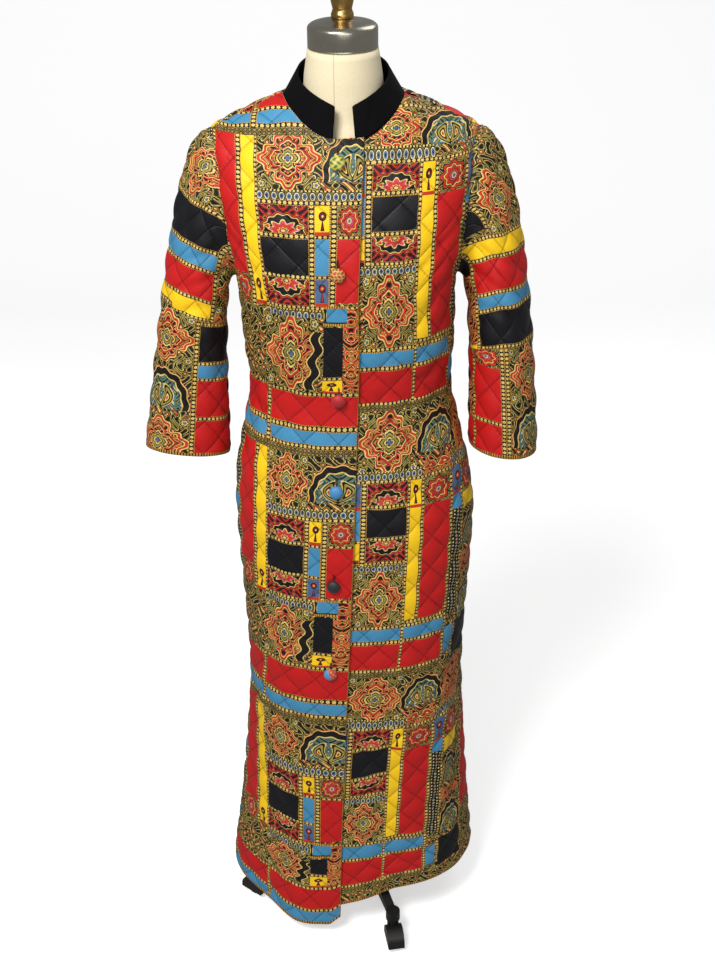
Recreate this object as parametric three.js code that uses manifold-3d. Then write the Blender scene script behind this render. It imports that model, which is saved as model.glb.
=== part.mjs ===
// A quilted robe worn by a limbless dress form on a caster stand.
// Millimetres, +Z up. The robe's front faces -Y and the wearer's left is +X. The model is built with
// its origin on the floor under the form's neck, and the group then moves it to its bounding box.

import * as THREE from 'three';
import { mergeVertices } from 'three/addons/utils/BufferGeometryUtils.js';
import Module from 'manifold-3d';

const wasm = await Module();
wasm.setup();

// ---------------------------------------------------------------- driving dimensions

const SEAM_GAP = 0.3;

// The quilting is a diamond grid. These are half of a diamond's width and height.
const STITCH_ACROSS = 25.4;
const STITCH_UP = 27.5;
const WALL_LINE = -2.1; // outer surface at a stitched line, from the mean outer surface
const WALL_PUFF = 1.2; // outer surface at the middle of a diamond
const WALL_EDGE = -1.0; // outer surface along hems and front edges
const WALL_INNER = -4.3; // plain inner surface

const CHEST = 1160; // height of the level underarm ring; the yoke rises from it
const SHOULDER_SPREAD = 0.226; // how much wider the shoulders are than the chest ring
const EARLY_SPREAD = 0.6; // how much of that comes early in the rise
const NECK_SWING = 8; // how far the button line comes back to the middle at the neck
const NECK_RISE = 300; // from the chest ring to the neck, up the cloth
const SHOULDER_TIP = { x: 190, z: 1370 };
const SHOULDER_SLOPE = 0.45;
const FRONT_ROUND = 2; // roundness of the yoke from the chest to the shoulder seam
const BACK_ROUND = 2.8;

const ARMHOLE = { z: 1262, halfY: 51, halfZ: 105 };
const NECKLINE = { halfX: 83, front: 85, back: 60 };

const LAP = 27; // from the button line to the front edge
const LAP_LIFT = 6; // how far the upper front stands off the lower one
const LAP_FADE = 90;
const HEM_FADE = 240; // height over which the quilting levels out above the hem
const FIRST_ROW = 30; // height of the lowest row of stitches
const BODY_ROWS = 55;
const FINE_INSIDE = CHEST + 110; // above this height the plain inside needs the smaller triangles

// Level rings of the robe: half width, depth to the front and back, squareness, where the button line
// has swung to along the front, and how far the ring's middle is from the pole.
const BODY_RINGS = [
  { z: 20, half: 219, front: 160, back: 150, power: 2.2, swing: -51, sway: -6 },
  { z: 200, half: 198, front: 143, back: 140, power: 2.2, swing: -50, sway: -1 },
  { z: 427, half: 178, front: 131, back: 131, power: 2.3, swing: -44.5, sway: 4 },
  { z: 530, half: 176, front: 128, back: 131, power: 2.3, swing: -40, sway: 5 },
  { z: 779, half: 185, front: 126, back: 135, power: 2.3, swing: -30, sway: 7 },
  { z: 858, half: 177, front: 121, back: 126, power: 2.3, swing: -24, sway: 4 },
  { z: 986, half: 151, front: 110, back: 96, power: 2.3, swing: -17.5, sway: 3 },
  { z: 1067, half: 154, front: 119, back: 96, power: 2.5, swing: -14, sway: 2 },
  { z: 1160, half: 156, front: 125, back: 98, power: 2.8, swing: -12, sway: 0 },
];

// Soft upright folds of the skirt: angle round the ring from its centre line, half width in degrees,
// depth at the hem (negative is a trough) and the height where the fold has died away.
const FRONT_FOLDS = [
  { angle: -58, spread: 20, depth: -7, top: 560 },
  { angle: -30, spread: 18, depth: 7, top: 420 },
  { angle: 24, spread: 20, depth: -6, top: 480 },
  { angle: 54, spread: 20, depth: 6, top: 640 },
];
const BACK_FOLDS = [
  { angle: -60, spread: 20, depth: 6, top: 620 },
  { angle: -32, spread: 17, depth: -8, top: 700 },
  { angle: 0, spread: 18, depth: 8, top: 760 },
  { angle: 31, spread: 17, depth: -8, top: 700 },
  { angle: 60, spread: 20, depth: 6, top: 620 },
];

// Hem heights across each piece, from the button line or the centre back.
const HEM_RIGHT_FRONT = [
  { across: -300, height: 62 },
  { across: -190, height: 60 },
  { across: -110, height: 46 },
  { across: -50, height: 31 },
  { across: 10, height: 28 },
  { across: 27, height: 44 },
];
const HEM_LEFT_FRONT = [
  { across: -27, height: 62 },
  { across: 30, height: 66 },
  { across: 120, height: 90 },
  { across: 210, height: 98 },
  { across: 320, height: 92 },
];
const HEM_BACK = [
  { across: -300, height: 61 },
  { across: 0, height: 80 },
  { across: 300, height: 92 },
];

const FRONT = { toward: -1, depth: 'front', round: FRONT_ROUND, folds: FRONT_FOLDS };
const BACK = { toward: 1, depth: 'back', round: BACK_ROUND, folds: BACK_FOLDS };

// Sleeves. Each cuff is an ellipse, tilted up outward and lifted at the front. flare is the slope of
// the sleeve's lines at the cuff, and reach how far they run straight on at each end.
const SLEEVE_COLUMNS = 16;
const SLEEVE_ROWS = 20;
const SLEEVES = [
  {
    name: 'robe_sleeve_right',
    side: -1,
    cuff: { x: 248, z: 877, halfX: 65, halfY: 47, tilt: 7, lift: 9 },
    flare: { outer: 0.19, inner: 0.05 },
    reach: { top: 46, bottom: 22, outer: 160, inner: 90 },
  },
  {
    name: 'robe_sleeve_left',
    side: 1,
    cuff: { x: 235, z: 876, halfX: 53, halfY: 57, tilt: -6, lift: 2 },
    flare: { outer: 0.06, inner: 0.03 },
    reach: { top: 58, bottom: 22, outer: 160, inner: 90 },
  },
];

const COLLAR = { thick: 3, tuck: 4, gapAngle: 10.4, stations: 26, rows: 2 };
const COLLAR_RIM = { half: 63, front: 70, back: 56 };
const COLLAR_TOP = [
  { z: 0, height: 1409 },
  { z: 48, height: 1430 },
  { z: 90, height: 1445 },
  { z: 135, height: 1457 },
  { z: 180, height: 1461 },
];

const BUTTON = { radius: 10.4, dome: 8, rim: 1.6, shank: 3, shankLength: 1.5, sides: 14 };
const BUTTON_HEIGHTS = [1346, 1202, 1010, 864, 704, 540];

// The form, by level rings inside the robe, up to the neck.
const FORM_RINGS = [
  { z: 620, half: 150, front: 104, back: 108, power: 2.2 },
  { z: 636, half: 160, front: 112, back: 117, power: 2.2 },
  { z: 779, half: 171, front: 113, back: 121, power: 2.2 },
  { z: 858, half: 163, front: 107, back: 112, power: 2.2 },
  { z: 986, half: 139, front: 97, back: 83, power: 2.2 },
  { z: 1067, half: 142, front: 106, back: 83, power: 2.3 },
  { z: 1160, half: 145, front: 112, back: 85, power: 2.4 },
  { z: 1250, half: 150, front: 105, back: 82, power: 2.4 },
  { z: 1310, half: 157, front: 94, back: 76, power: 2.3 },
  { z: 1350, half: 163, front: 79, back: 67, power: 2.3 },
  { z: 1366, half: 148, front: 69, back: 62, power: 2.3 },
  { z: 1386, half: 100, front: 58, back: 53, power: 2.1 },
  { z: 1404, half: 67, front: 55, back: 50, power: 2 },
  { z: 1422, half: 56, front: 53, back: 50, power: 2 },
  { z: 1442, half: 53, front: 52, back: 49, power: 2 },
  { z: 1475, half: 48, front: 48, back: 48, power: 2 },
];
const FORM_LEVELS = [
  620, 636, 700, 779, 858, 935, 986, 1050, 1160, 1240, 1300, 1350, 1366, 1386, 1404, 1422, 1442, 1475,
];
const FORM_COLUMNS = 24;

const CAP = { radius: 47.4, bottom: 1475, side: 26, crown: 13 };
const KNOB = { foot: 15.2, waist: 13.4, bulb: 16, height: 54 };
const POLE = { radius: 12.5, top: 620, bottom: 62 };
const HUB = { radius: 31, bottom: 54, top: 116 };
const LEG = { first: -70, reach: 180, thick: 15, socket: 12, socketTop: 66, socketBottom: 48 };
const STEM = { radius: 4, clearance: 0.5, top: 60, boreTop: 62 };
const WHEEL = { radius: 17, width: 19, edge: 3, sides: 20, bore: 3.5 };
const HOOD = { radius: 22, width: 28, space: 19.2, inside: 21, skirt: 11, boss: 10, top: 47.7, pin: 3 };
const TRAIL = 14;
const CASTER_HEADINGS = [-81, 65, 150, 142]; // which way each wheel trails, in degrees from +X

// ---------------------------------------------------------------- colours

const FABRICS = {
  print: [0x9a5a3a, 0.85, 0],
  velvet: [0x0c0c0e, 0.95, 0],
  linen: [0xe9e2cc, 0.8, 0],
  steel: [0x8e8d86, 0.35, 0.9],
  brass: [0xa0875a, 0.35, 0.9],
  iron: [0x141414, 0.5, 0.6],
  tread: [0x1c1c1c, 0.6, 0],
};
const BUTTON_COLOURS = [0xb8a848, 0xb07a35, 0xb3262b, 0x3f7fb0, 0x1b1b20, 0x5a7fa8];

function material(kind, colour) {
  const [base, roughness, metalness] = FABRICS[kind];
  return new THREE.MeshStandardMaterial({ color: colour ?? base, roughness, metalness, flatShading: true });
}

// ---------------------------------------------------------------- solids

function solidFrom(geometry) {
  const plain = geometry.clone();
  plain.deleteAttribute('normal');
  plain.deleteAttribute('uv');
  const welded = mergeVertices(plain, 1e-4);
  return new wasm.Manifold(
    new wasm.Mesh({
      numProp: 3,
      vertProperties: new Float32Array(welded.attributes.position.array),
      triVerts: new Uint32Array(welded.index.array),
    }),
  );
}

function geometryFrom(solid) {
  const mesh = solid.getMesh();
  const geometry = new THREE.BufferGeometry();
  geometry.setAttribute('position', new THREE.BufferAttribute(mesh.vertProperties, 3));
  geometry.setIndex(new THREE.BufferAttribute(mesh.triVerts, 1));
  return geometry;
}

function signedVolume(points, faces) {
  let volume = 0;
  for (const [a, b, c] of faces) {
    volume += points[a].dot(new THREE.Vector3().crossVectors(points[b], points[c])) / 6;
  }
  return volume;
}

// A closed geometry from points and triangles, turned so that its faces point out.
function closedGeometry(points, faces) {
  const outward = signedVolume(points, faces) > 0;
  const order = outward ? faces : faces.map(([a, b, c]) => [a, c, b]);
  const geometry = new THREE.BufferGeometry();
  const flat = points.flatMap((point) => [point.x, point.y, point.z]);
  geometry.setAttribute('position', new THREE.Float32BufferAttribute(flat, 3));
  geometry.setIndex(order.flat());
  return geometry;
}

function boxSolid(low, high) {
  const size = new THREE.Vector3().subVectors(high, low);
  const geometry = new THREE.BoxGeometry(size.x, size.y, size.z);
  const middle = new THREE.Vector3().addVectors(low, high).multiplyScalar(0.5);
  return solidFrom(geometry.translate(middle.x, middle.y, middle.z));
}

function uprightCylinder(radius, bottom, top, sides) {
  const geometry = new THREE.CylinderGeometry(radius, radius, top - bottom, sides);
  return geometry.rotateX(Math.PI / 2).translate(0, 0, (top + bottom) / 2);
}

// A profile of [radius, height] pairs turned about the Z axis.
function turned(profile, sides) {
  const points = profile.map(([radius, height]) => new THREE.Vector2(radius, height));
  const lathe = new THREE.LatheGeometry(points, sides).rotateX(Math.PI / 2);
  return geometryFrom(orientedSolid(lathe));
}

// A solid from a geometry whose faces may all point in.
function orientedSolid(geometry) {
  const solid = solidFrom(geometry);
  if (solid.volume() > 0) return solid;
  const index = geometry.index.array;
  for (let k = 0; k < index.length; k += 3) {
    [index[k], index[k + 1]] = [index[k + 1], index[k]];
  }
  return solidFrom(geometry);
}

// ---------------------------------------------------------------- smooth tables

function hermite(from, to, slopeFrom, slopeTo, f) {
  const g = 1 - f;
  return from * (1 + 2 * f) * g * g + to * (3 - 2 * f) * f * f + slopeFrom * f * g * g - slopeTo * f * f * g;
}

// Every column of a table at one height, with smooth slopes through the rows.
function smoothRow(table, height) {
  const last = table.length - 1;
  let k = 0;
  while (k < last - 1 && height > table[k + 1].z) k += 1;
  const before = table[Math.max(k - 1, 0)];
  const low = table[k];
  const high = table[k + 1];
  const after = table[Math.min(k + 2, last)];
  const span = high.z - low.z;
  const f = THREE.MathUtils.clamp((height - low.z) / span, 0, 1);
  const row = {};
  for (const column of Object.keys(low)) {
    const slopeLow = (high[column] - before[column]) / (high.z - before.z);
    const slopeHigh = (after[column] - low[column]) / (after.z - low.z);
    row[column] = hermite(low[column], high[column], slopeLow * span, slopeHigh * span, f);
  }
  return row;
}

function heightAcross(table, across) {
  for (let k = 1; k < table.length; k += 1) {
    const from = table[k - 1];
    const to = table[k];
    if (across <= to.across || k === table.length - 1) {
      const f = THREE.MathUtils.clamp((across - from.across) / (to.across - from.across), 0, 1);
      return from.height + (to.height - from.height) * f;
    }
  }
  return table[0].height;
}

// ---------------------------------------------------------------- the robe's body surface

const ARC_STEPS = 72;
const ARC_END = THREE.MathUtils.degToRad(125);

function squareRadius(angle, half, depth, power) {
  const across = Math.abs(Math.sin(angle) / half) ** power;
  const along = Math.abs(Math.cos(angle) / depth) ** power;
  return (across + along) ** (-1 / power);
}

// The point at an arc length from a curve's start, where place(angle) gives the curve.
function pointAtLength(place, end, length) {
  let walked = 0;
  let from = place(0);
  for (let k = 1; k <= ARC_STEPS; k += 1) {
    const to = place((end * k) / ARC_STEPS);
    const step = Math.hypot(to[0] - from[0], to[1] - from[1]);
    if (walked + step >= length) {
      const f = (length - walked) / step;
      return [from[0] + (to[0] - from[0]) * f, from[1] + (to[1] - from[1]) * f, 0];
    }
    walked += step;
    from = to;
  }
  return [from[0], from[1], length - walked];
}

function foldDepth(face, angle, height) {
  const degrees = THREE.MathUtils.radToDeg(angle);
  let depth = 0;
  for (const fold of face.folds) {
    const off = Math.abs(degrees - fold.angle) / fold.spread;
    if (off < 1 && height < fold.top) {
      depth += fold.depth * Math.cos((off * Math.PI) / 2) ** 2 * (1 - height / fold.top);
    }
  }
  return depth;
}

// [sideways, toward the face] on a level ring, at an arc length from the face's centre line.
function ringPoint(face, row, length) {
  const sign = Math.sign(length) || 1;
  const place = (angle) => {
    const plain = squareRadius(angle, row.half, row[face.depth], row.power);
    const radius = plain + foldDepth(face, sign * angle, row.z);
    return [radius * Math.sin(angle), radius * Math.cos(angle)];
  };
  const [x, y] = pointAtLength(place, ARC_END, Math.abs(length));
  return [sign * x, y];
}

// Widening of the yoke at a share of its rise.
function spreadAt(share) {
  return 1 + SHOULDER_SPREAD * share * (1 + EARLY_SPREAD * (1 - share));
}

function shoulderHeight(x) {
  return SHOULDER_TIP.z + SHOULDER_SLOPE * (SHOULDER_TIP.x - Math.abs(x));
}

// The yoke above the chest ring: a rounded rise to the shoulder line, then level past it.
function yokePoint(face, length, rise) {
  const chest = smoothRow(BODY_RINGS, CHEST);
  const [x, y] = ringPoint(face, chest, length);
  const tall = shoulderHeight(x * (1 + SHOULDER_SPREAD)) - CHEST;
  const place = (angle) => {
    const radius = squareRadius(angle, 1, 1, face.round);
    return [y * radius * Math.cos(angle), tall * radius * Math.sin(angle)];
  };
  const [inward, up, past] = pointAtLength(place, Math.PI / 2, rise);
  return new THREE.Vector3(x * spreadAt(up / tall) + chest.sway, face.toward * (inward - past), CHEST + up);
}

function bodyPoint(face, length, rise) {
  if (rise > CHEST) return yokePoint(face, length, rise - CHEST);
  const row = smoothRow(BODY_RINGS, rise);
  row.z = rise;
  const [x, y] = ringPoint(face, row, length);
  return new THREE.Vector3(x + row.sway, face.toward * y, rise);
}

// A point moved out of the body surface by some offset.
function bodyOffset(face, length, rise, offset) {
  const probe = 3;
  const point = bodyPoint(face, length, rise);
  const across = bodyPoint(face, length + probe, rise).sub(bodyPoint(face, length - probe, rise));
  const up = bodyPoint(face, length, rise + probe).sub(bodyPoint(face, length, rise - probe));
  const normal = across.cross(up).normalize().multiplyScalar(-face.toward);
  return point.addScaledVector(normal, offset);
}

// ---------------------------------------------------------------- quilted walls

function isCrossing(column, row) {
  return (column + row) % 2 === 0;
}

// A quilted wall: outer points at stitched crossings and puffs, plain inner points, closed edges.
// kept(column, row) says which squares exist; wide(row) lets the inner side use one pair of triangles
// for a whole diamond.
function quiltedWall({ columns, rows, wrap, kept, outer, inner, wide }) {
  const points = [];
  const numbers = new Map();
  const column = (c) => (wrap ? (c + columns) % columns : c);
  const number = (side, c, r) => {
    const key = `${side}:${column(c)}:${r}`;
    if (!numbers.has(key)) {
      numbers.set(key, points.length);
      points.push((side === 'outer' ? outer : inner)(column(c), r));
    }
    return numbers.get(key);
  };
  const has = (c, r) => r >= 0 && r < rows && (wrap || (c >= 0 && c < columns)) && kept(column(c), r);
  const faces = [];
  const face = (side, ...corners) => {
    const ids = corners.map(([c, r]) => number(side, c, r));
    faces.push(side === 'outer' ? ids : ids.reverse());
  };
  const wall = ([c0, r0], [c1, r1]) => {
    const low = number('outer', c0, r0);
    const high = number('outer', c1, r1);
    faces.push([high, low, number('inner', c0, r0)]);
    faces.push([high, number('inner', c0, r0), number('inner', c1, r1)]);
  };
  const wholeDiamond = (c, r) => wide(r) && has(c, r) && has(c - 1, r) && has(c, r - 1) && has(c - 1, r - 1);
  for (let r = 0; r < rows; r += 1) {
    for (let c = 0; c < columns; c += 1) {
      if (!has(c, r)) continue;
      const [a, b, d, e] = [[c, r], [c + 1, r], [c + 1, r + 1], [c, r + 1]];
      const halves = isCrossing(c, r) ? [[a, b, d], [a, d, e]] : [[a, b, e], [b, d, e]];
      for (const half of halves) {
        face('outer', ...half);
        const puff = half.find(([pc, pr]) => !isCrossing(pc, pr));
        if (!wholeDiamond(...puff)) face('inner', ...half);
      }
      if (!has(c, r - 1)) wall(a, b);
      if (!has(c + 1, r)) wall(b, d);
      if (!has(c, r + 1)) wall(d, e);
      if (!has(c - 1, r)) wall(e, a);
    }
  }
  for (let r = 1; r < rows; r += 1) {
    for (let c = 0; c <= columns; c += 1) {
      if (isCrossing(c, r) || (wrap && c === columns) || !wholeDiamond(c, r)) continue;
      face('inner', [c, r - 1], [c + 1, r], [c, r + 1]);
      face('inner', [c, r - 1], [c, r + 1], [c - 1, r]);
    }
  }
  return solidFrom(closedGeometry(points, faces));
}

// ---------------------------------------------------------------- fronts and back

function insideArmhole(point, scale) {
  const off = ((point.z - ARMHOLE.z) / ARMHOLE.halfZ) ** 2 + (point.y / ARMHOLE.halfY) ** 2;
  return Math.abs(point.x) > NECKLINE.halfX + SEAM_GAP && off < scale;
}

function insideNeckline(point, scale) {
  const depth = point.y < 0 ? NECKLINE.front : NECKLINE.back;
  return point.z > CHEST && (point.x / NECKLINE.halfX) ** 2 + (point.y / depth) ** 2 < scale;
}

// Where the button line lies along the front, at a distance up the cloth.
function swingAt(rise) {
  const above = Math.max(0, rise - CHEST) / NECK_RISE;
  return smoothRow(BODY_RINGS, Math.min(rise, CHEST)).swing + NECK_SWING * above;
}

// A panel of the body. place(column) is the arc length from the panel's own centre line, lift the
// extra offset there, and flat how much of the quilting's relief is left.
function bodyPanel(face, { columns, place, swings, hem, lift, flat, edgeColumn }) {
  const rows = BODY_ROWS;
  const rowHeight = (r) => FIRST_ROW + STITCH_UP * r;
  const firstRow = Math.round((Math.min(...hem.map((entry) => entry.height)) - FIRST_ROW) / STITCH_UP);
  const level = (c, r) => {
    const above = rowHeight(r) - rowHeight(firstRow);
    const fade = Math.max(0, 1 - above / HEM_FADE) ** 2;
    return rowHeight(r) + (heightAcross(hem, place(c)) - rowHeight(firstRow)) * fade;
  };
  const length = (c, r) => place(c) + (swings ? swingAt(level(c, r)) : 0);
  const at = (c, r, offset) => bodyOffset(face, length(c, r), level(c, r), offset + lift(place(c)));
  const centre = (c, r) => bodyPoint(face, length(c, r), level(c, r));
  const kept = (c, r) => {
    if (r < firstRow) return false;
    const corners = [centre(c, r), centre(c + 1, r), centre(c, r + 1), centre(c + 1, r + 1)];
    const onFace = corners.some((corner) => face.toward * corner.y > 0);
    const cutAway = (inside) => corners.every((corner) => inside(corner, 0.8));
    return onFace && !cutAway(insideArmhole) && !cutAway(insideNeckline);
  };
  const cache = new Map();
  const keptOnce = (c, r) => {
    const key = c * 100 + r;
    if (!cache.has(key)) cache.set(key, kept(c, r));
    return cache.get(key);
  };
  const relief = (c, r) => {
    if (r === firstRow || c === edgeColumn) return WALL_EDGE;
    return (isCrossing(c, r) ? WALL_LINE : WALL_PUFF) * flat(place(c));
  };
  return quiltedWall({
    columns,
    rows,
    wrap: false,
    kept: keptOnce,
    outer: (c, r) => at(c, r, relief(c, r)),
    inner: (c, r) => at(c, r, WALL_INNER),
    wide: (r) => rowHeight(r) < FINE_INSIDE,
  });
}

function ellipsePrism(centreX, centreY, halfX, halfY, depth, sides) {
  const shape = new THREE.Shape();
  shape.absellipse(centreX, centreY, halfX, halfY, 0, Math.PI * 2, false, 0);
  return new THREE.ExtrudeGeometry(shape, { depth, steps: 1, bevelEnabled: false, curveSegments: sides });
}

// The armhole's cutter runs along X; its corners include the sleeve's own columns.
function armholeCutter(side) {
  const prism = ellipsePrism(0, 0, ARMHOLE.halfZ, ARMHOLE.halfY, 200, SLEEVE_COLUMNS * 2);
  prism.applyMatrix4(new THREE.Matrix4().makeBasis(
    new THREE.Vector3(0, 0, 1), new THREE.Vector3(0, 1, 0), new THREE.Vector3(-1, 0, 0)));
  const start = side > 0 ? NECKLINE.halfX + 205 : -NECKLINE.halfX - 5;
  return orientedSolid(prism.translate(start, 0, ARMHOLE.z));
}

function necklineCutter() {
  const shape = new THREE.Shape();
  shape.absellipse(0, 0, NECKLINE.halfX, NECKLINE.front, Math.PI, Math.PI * 2, false, 0);
  shape.absellipse(0, 0, NECKLINE.halfX, NECKLINE.back, 0, Math.PI, false, 0);
  const prism = new THREE.ExtrudeGeometry(shape, { depth: 300, bevelEnabled: false, curveSegments: 24 });
  return orientedSolid(prism.translate(0, 0, CHEST + 60));
}

function halfSpace(toward) {
  const reach = 2000;
  const near = (toward * SEAM_GAP) / 2;
  const low = new THREE.Vector3(-reach, toward > 0 ? near : -reach, -reach);
  const high = new THREE.Vector3(reach, toward > 0 ? reach : near, reach);
  return boxSolid(low, high);
}

function trimmed(panel, face) {
  const sides = panel.intersect(halfSpace(face.toward));
  const withArmholes = sides.subtract(armholeCutter(1)).subtract(armholeCutter(-1));
  return withArmholes.subtract(necklineCutter());
}

function ramp(from, to, value) {
  return THREE.MathUtils.smoothstep(value, from, to);
}

function rightFront() {
  return trimmed(bodyPanel(FRONT, {
    columns: 12,
    place: (c) => LAP - STITCH_ACROSS * (12 - c),
    swings: true,
    hem: HEM_RIGHT_FRONT,
    lift: (across) => LAP_LIFT * ramp(-LAP - LAP_FADE, -LAP, across),
    flat: (across) => 1 - 0.4 * ramp(-LAP - STITCH_ACROSS, -LAP, across),
    edgeColumn: 12,
  }), FRONT);
}

function leftFront() {
  return trimmed(bodyPanel(FRONT, {
    columns: 17,
    place: (c) => STITCH_ACROSS * c - LAP,
    swings: true,
    hem: HEM_LEFT_FRONT,
    lift: () => 0,
    flat: (across) => 0.3 + 0.7 * ramp(LAP, LAP + STITCH_ACROSS, across),
    edgeColumn: 0,
  }), FRONT);
}

function backPanel() {
  return trimmed(bodyPanel(BACK, {
    columns: 26,
    place: (c) => STITCH_ACROSS * (c - 13),
    swings: false,
    hem: HEM_BACK,
    lift: () => 0,
    flat: () => 1,
    edgeColumn: -1,
  }), BACK);
}

// ---------------------------------------------------------------- sleeves

// Where the body surface lies sideways, at a point of the armhole.
function wallX(y, z) {
  const face = y < 0 ? FRONT : BACK;
  const row = smoothRow(BODY_RINGS, Math.min(z, CHEST));
  const acrossRing = (toward) => {
    const share = Math.min(1, toward / row[face.depth]);
    return row.half * (1 - share ** row.power) ** (1 / row.power);
  };
  if (z <= CHEST) return acrossRing(Math.abs(y)) + row.sway;
  let x = row.half;
  for (let pass = 0; pass < 40; pass += 1) {
    const tall = shoulderHeight(x * (1 + SHOULDER_SPREAD)) - CHEST;
    const up = Math.min(0.999, (z - CHEST) / tall);
    const inward = (1 - up ** face.round) ** (1 / face.round);
    x = (x + acrossRing(Math.abs(y) / inward)) / 2;
  }
  const tall = shoulderHeight(x * (1 + SHOULDER_SPREAD)) - CHEST;
  return x * spreadAt(Math.min(1, (z - CHEST) / tall));
}

// A sleeve's surface. turn is the angle round it, from the shoulder to the front; row 0 lies in the
// armhole, row 1 just outside it, and the last row is the cuff.
function sleevePoint(sleeve, turn, row) {
  const { side, cuff, flare, reach } = sleeve;
  const upper = (1 + Math.cos(turn)) / 2;
  const mix = (bottom, top) => bottom + (top - bottom) * upper;
  const y = -(ARMHOLE.halfY - SEAM_GAP) * Math.sin(turn);
  const z = ARMHOLE.z + (ARMHOLE.halfZ - SEAM_GAP) * Math.cos(turn);
  const wall = wallX(y, z);
  if (row < 1) return new THREE.Vector3(side * (wall - 4 + 7.5 * row), y, z);
  const start = new THREE.Vector3(wall + 3.5, y, z);
  const end = new THREE.Vector3(
    cuff.x + cuff.halfX * Math.cos(turn),
    -cuff.halfY * Math.sin(turn),
    cuff.z + cuff.tilt * Math.cos(turn) + cuff.lift * Math.sin(turn));
  const leave = mix(reach.bottom, reach.top);
  const arrive = mix(reach.inner, reach.outer);
  const first = start.clone().add(new THREE.Vector3(leave, 0, -0.5 * leave * upper));
  const second = end.clone().add(new THREE.Vector3(-arrive * mix(flare.inner, flare.outer), 0, arrive));
  const curve = new THREE.CubicBezierCurve3(start, first, second, end);
  const point = curve.getPoint((row - 1) / (SLEEVE_ROWS - 1));
  return new THREE.Vector3(side * point.x, point.y, point.z);
}

function sleeveOffset(sleeve, turn, row, offset) {
  const probe = 0.05;
  const point = sleevePoint(sleeve, turn, row);
  const around = sleevePoint(sleeve, turn + probe, row).sub(sleevePoint(sleeve, turn - probe, row));
  const from = row <= 1 ? Math.max(0, row - probe) : row - probe;
  const to = row <= 1 ? from + probe / 2 : row + probe;
  const along = sleevePoint(sleeve, turn, to).sub(sleevePoint(sleeve, turn, from));
  const normal = around.cross(along).normalize().multiplyScalar(sleeve.side);
  return point.addScaledVector(normal, offset);
}

function sleeveSolid(sleeve) {
  const turn = (c) => (c * Math.PI * 2) / SLEEVE_COLUMNS;
  const relief = (c, r) => {
    if (r <= 1) return 0;
    if (r === SLEEVE_ROWS) return WALL_EDGE;
    return isCrossing(c, r) ? WALL_LINE : WALL_PUFF;
  };
  return quiltedWall({
    columns: SLEEVE_COLUMNS,
    rows: SLEEVE_ROWS,
    wrap: true,
    kept: () => true,
    outer: (c, r) => sleeveOffset(sleeve, turn(c), r, relief(c, r)),
    inner: (c, r) => sleeveOffset(sleeve, turn(c), r, WALL_INNER),
    wide: (r) => r > 2,
  });
}

// ---------------------------------------------------------------- collar and buttons

// Height of the yoke over a point of the plan.
function yokeHeight(x, y) {
  const face = y < 0 ? FRONT : BACK;
  const chest = smoothRow(BODY_RINGS, CHEST);
  let up = 0.8;
  for (let pass = 0; pass < 60; pass += 1) {
    const ringX = Math.abs(x) / spreadAt(up);
    const depth = chest[face.depth] * (1 - (ringX / chest.half) ** chest.power) ** (1 / chest.power);
    const ratio = Math.min(1, Math.abs(y) / depth);
    up = (up + (1 - ratio ** face.round) ** (1 / face.round)) / 2;
  }
  const ringX = Math.abs(x) / spreadAt(up);
  return CHEST + (shoulderHeight(ringX * (1 + SHOULDER_SPREAD)) - CHEST) * up;
}

// Outer surface of the stand collar: degrees round from the centre front, share of its height.
function collarPoint(degrees, share) {
  const angle = THREE.MathUtils.degToRad(degrees);
  const front = Math.cos(angle) > 0;
  const x = (NECKLINE.halfX - SEAM_GAP) * Math.sin(angle);
  const y = -(front ? NECKLINE.front - SEAM_GAP : NECKLINE.back - SEAM_GAP) * Math.cos(angle);
  const base = new THREE.Vector3(x, y, yokeHeight(x, y) - COLLAR.tuck);
  const around = degrees > 180 ? 360 - degrees : degrees;
  const rim = new THREE.Vector3(
    COLLAR_RIM.half * Math.sin(angle),
    -(front ? COLLAR_RIM.front : COLLAR_RIM.back) * Math.cos(angle),
    smoothRow(COLLAR_TOP, around).height);
  return base.lerp(rim, share);
}

function collarOffset(degrees, share, offset) {
  const point = collarPoint(degrees, share);
  const around = collarPoint(degrees + 2, share).sub(collarPoint(degrees - 2, share));
  const up = collarPoint(degrees, 1).sub(collarPoint(degrees, 0));
  return point.addScaledVector(around.cross(up).normalize(), offset);
}

function collarSolid() {
  const { stations, rows, gapAngle, thick } = COLLAR;
  const degrees = (c) => gapAngle + ((360 - 2 * gapAngle) * c) / stations;
  return quiltedWall({
    columns: stations,
    rows,
    wrap: false,
    kept: () => true,
    outer: (c, r) => collarOffset(degrees(c), r / rows, 0),
    inner: (c, r) => collarOffset(degrees(c), r / rows, -thick),
    wide: () => false,
  });
}

// Height of the upper front's faceted surface above the body surface, on the button line.
function lapHeight(rise) {
  const row = (rise - FIRST_ROW) / STITCH_UP;
  const low = Math.floor(row);
  const nearCrossing = isCrossing(11, low) ? row - low : low + 1 - row;
  return LAP_LIFT + 0.6 * (WALL_LINE + (WALL_PUFF - WALL_LINE) * nearCrossing);
}

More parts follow.
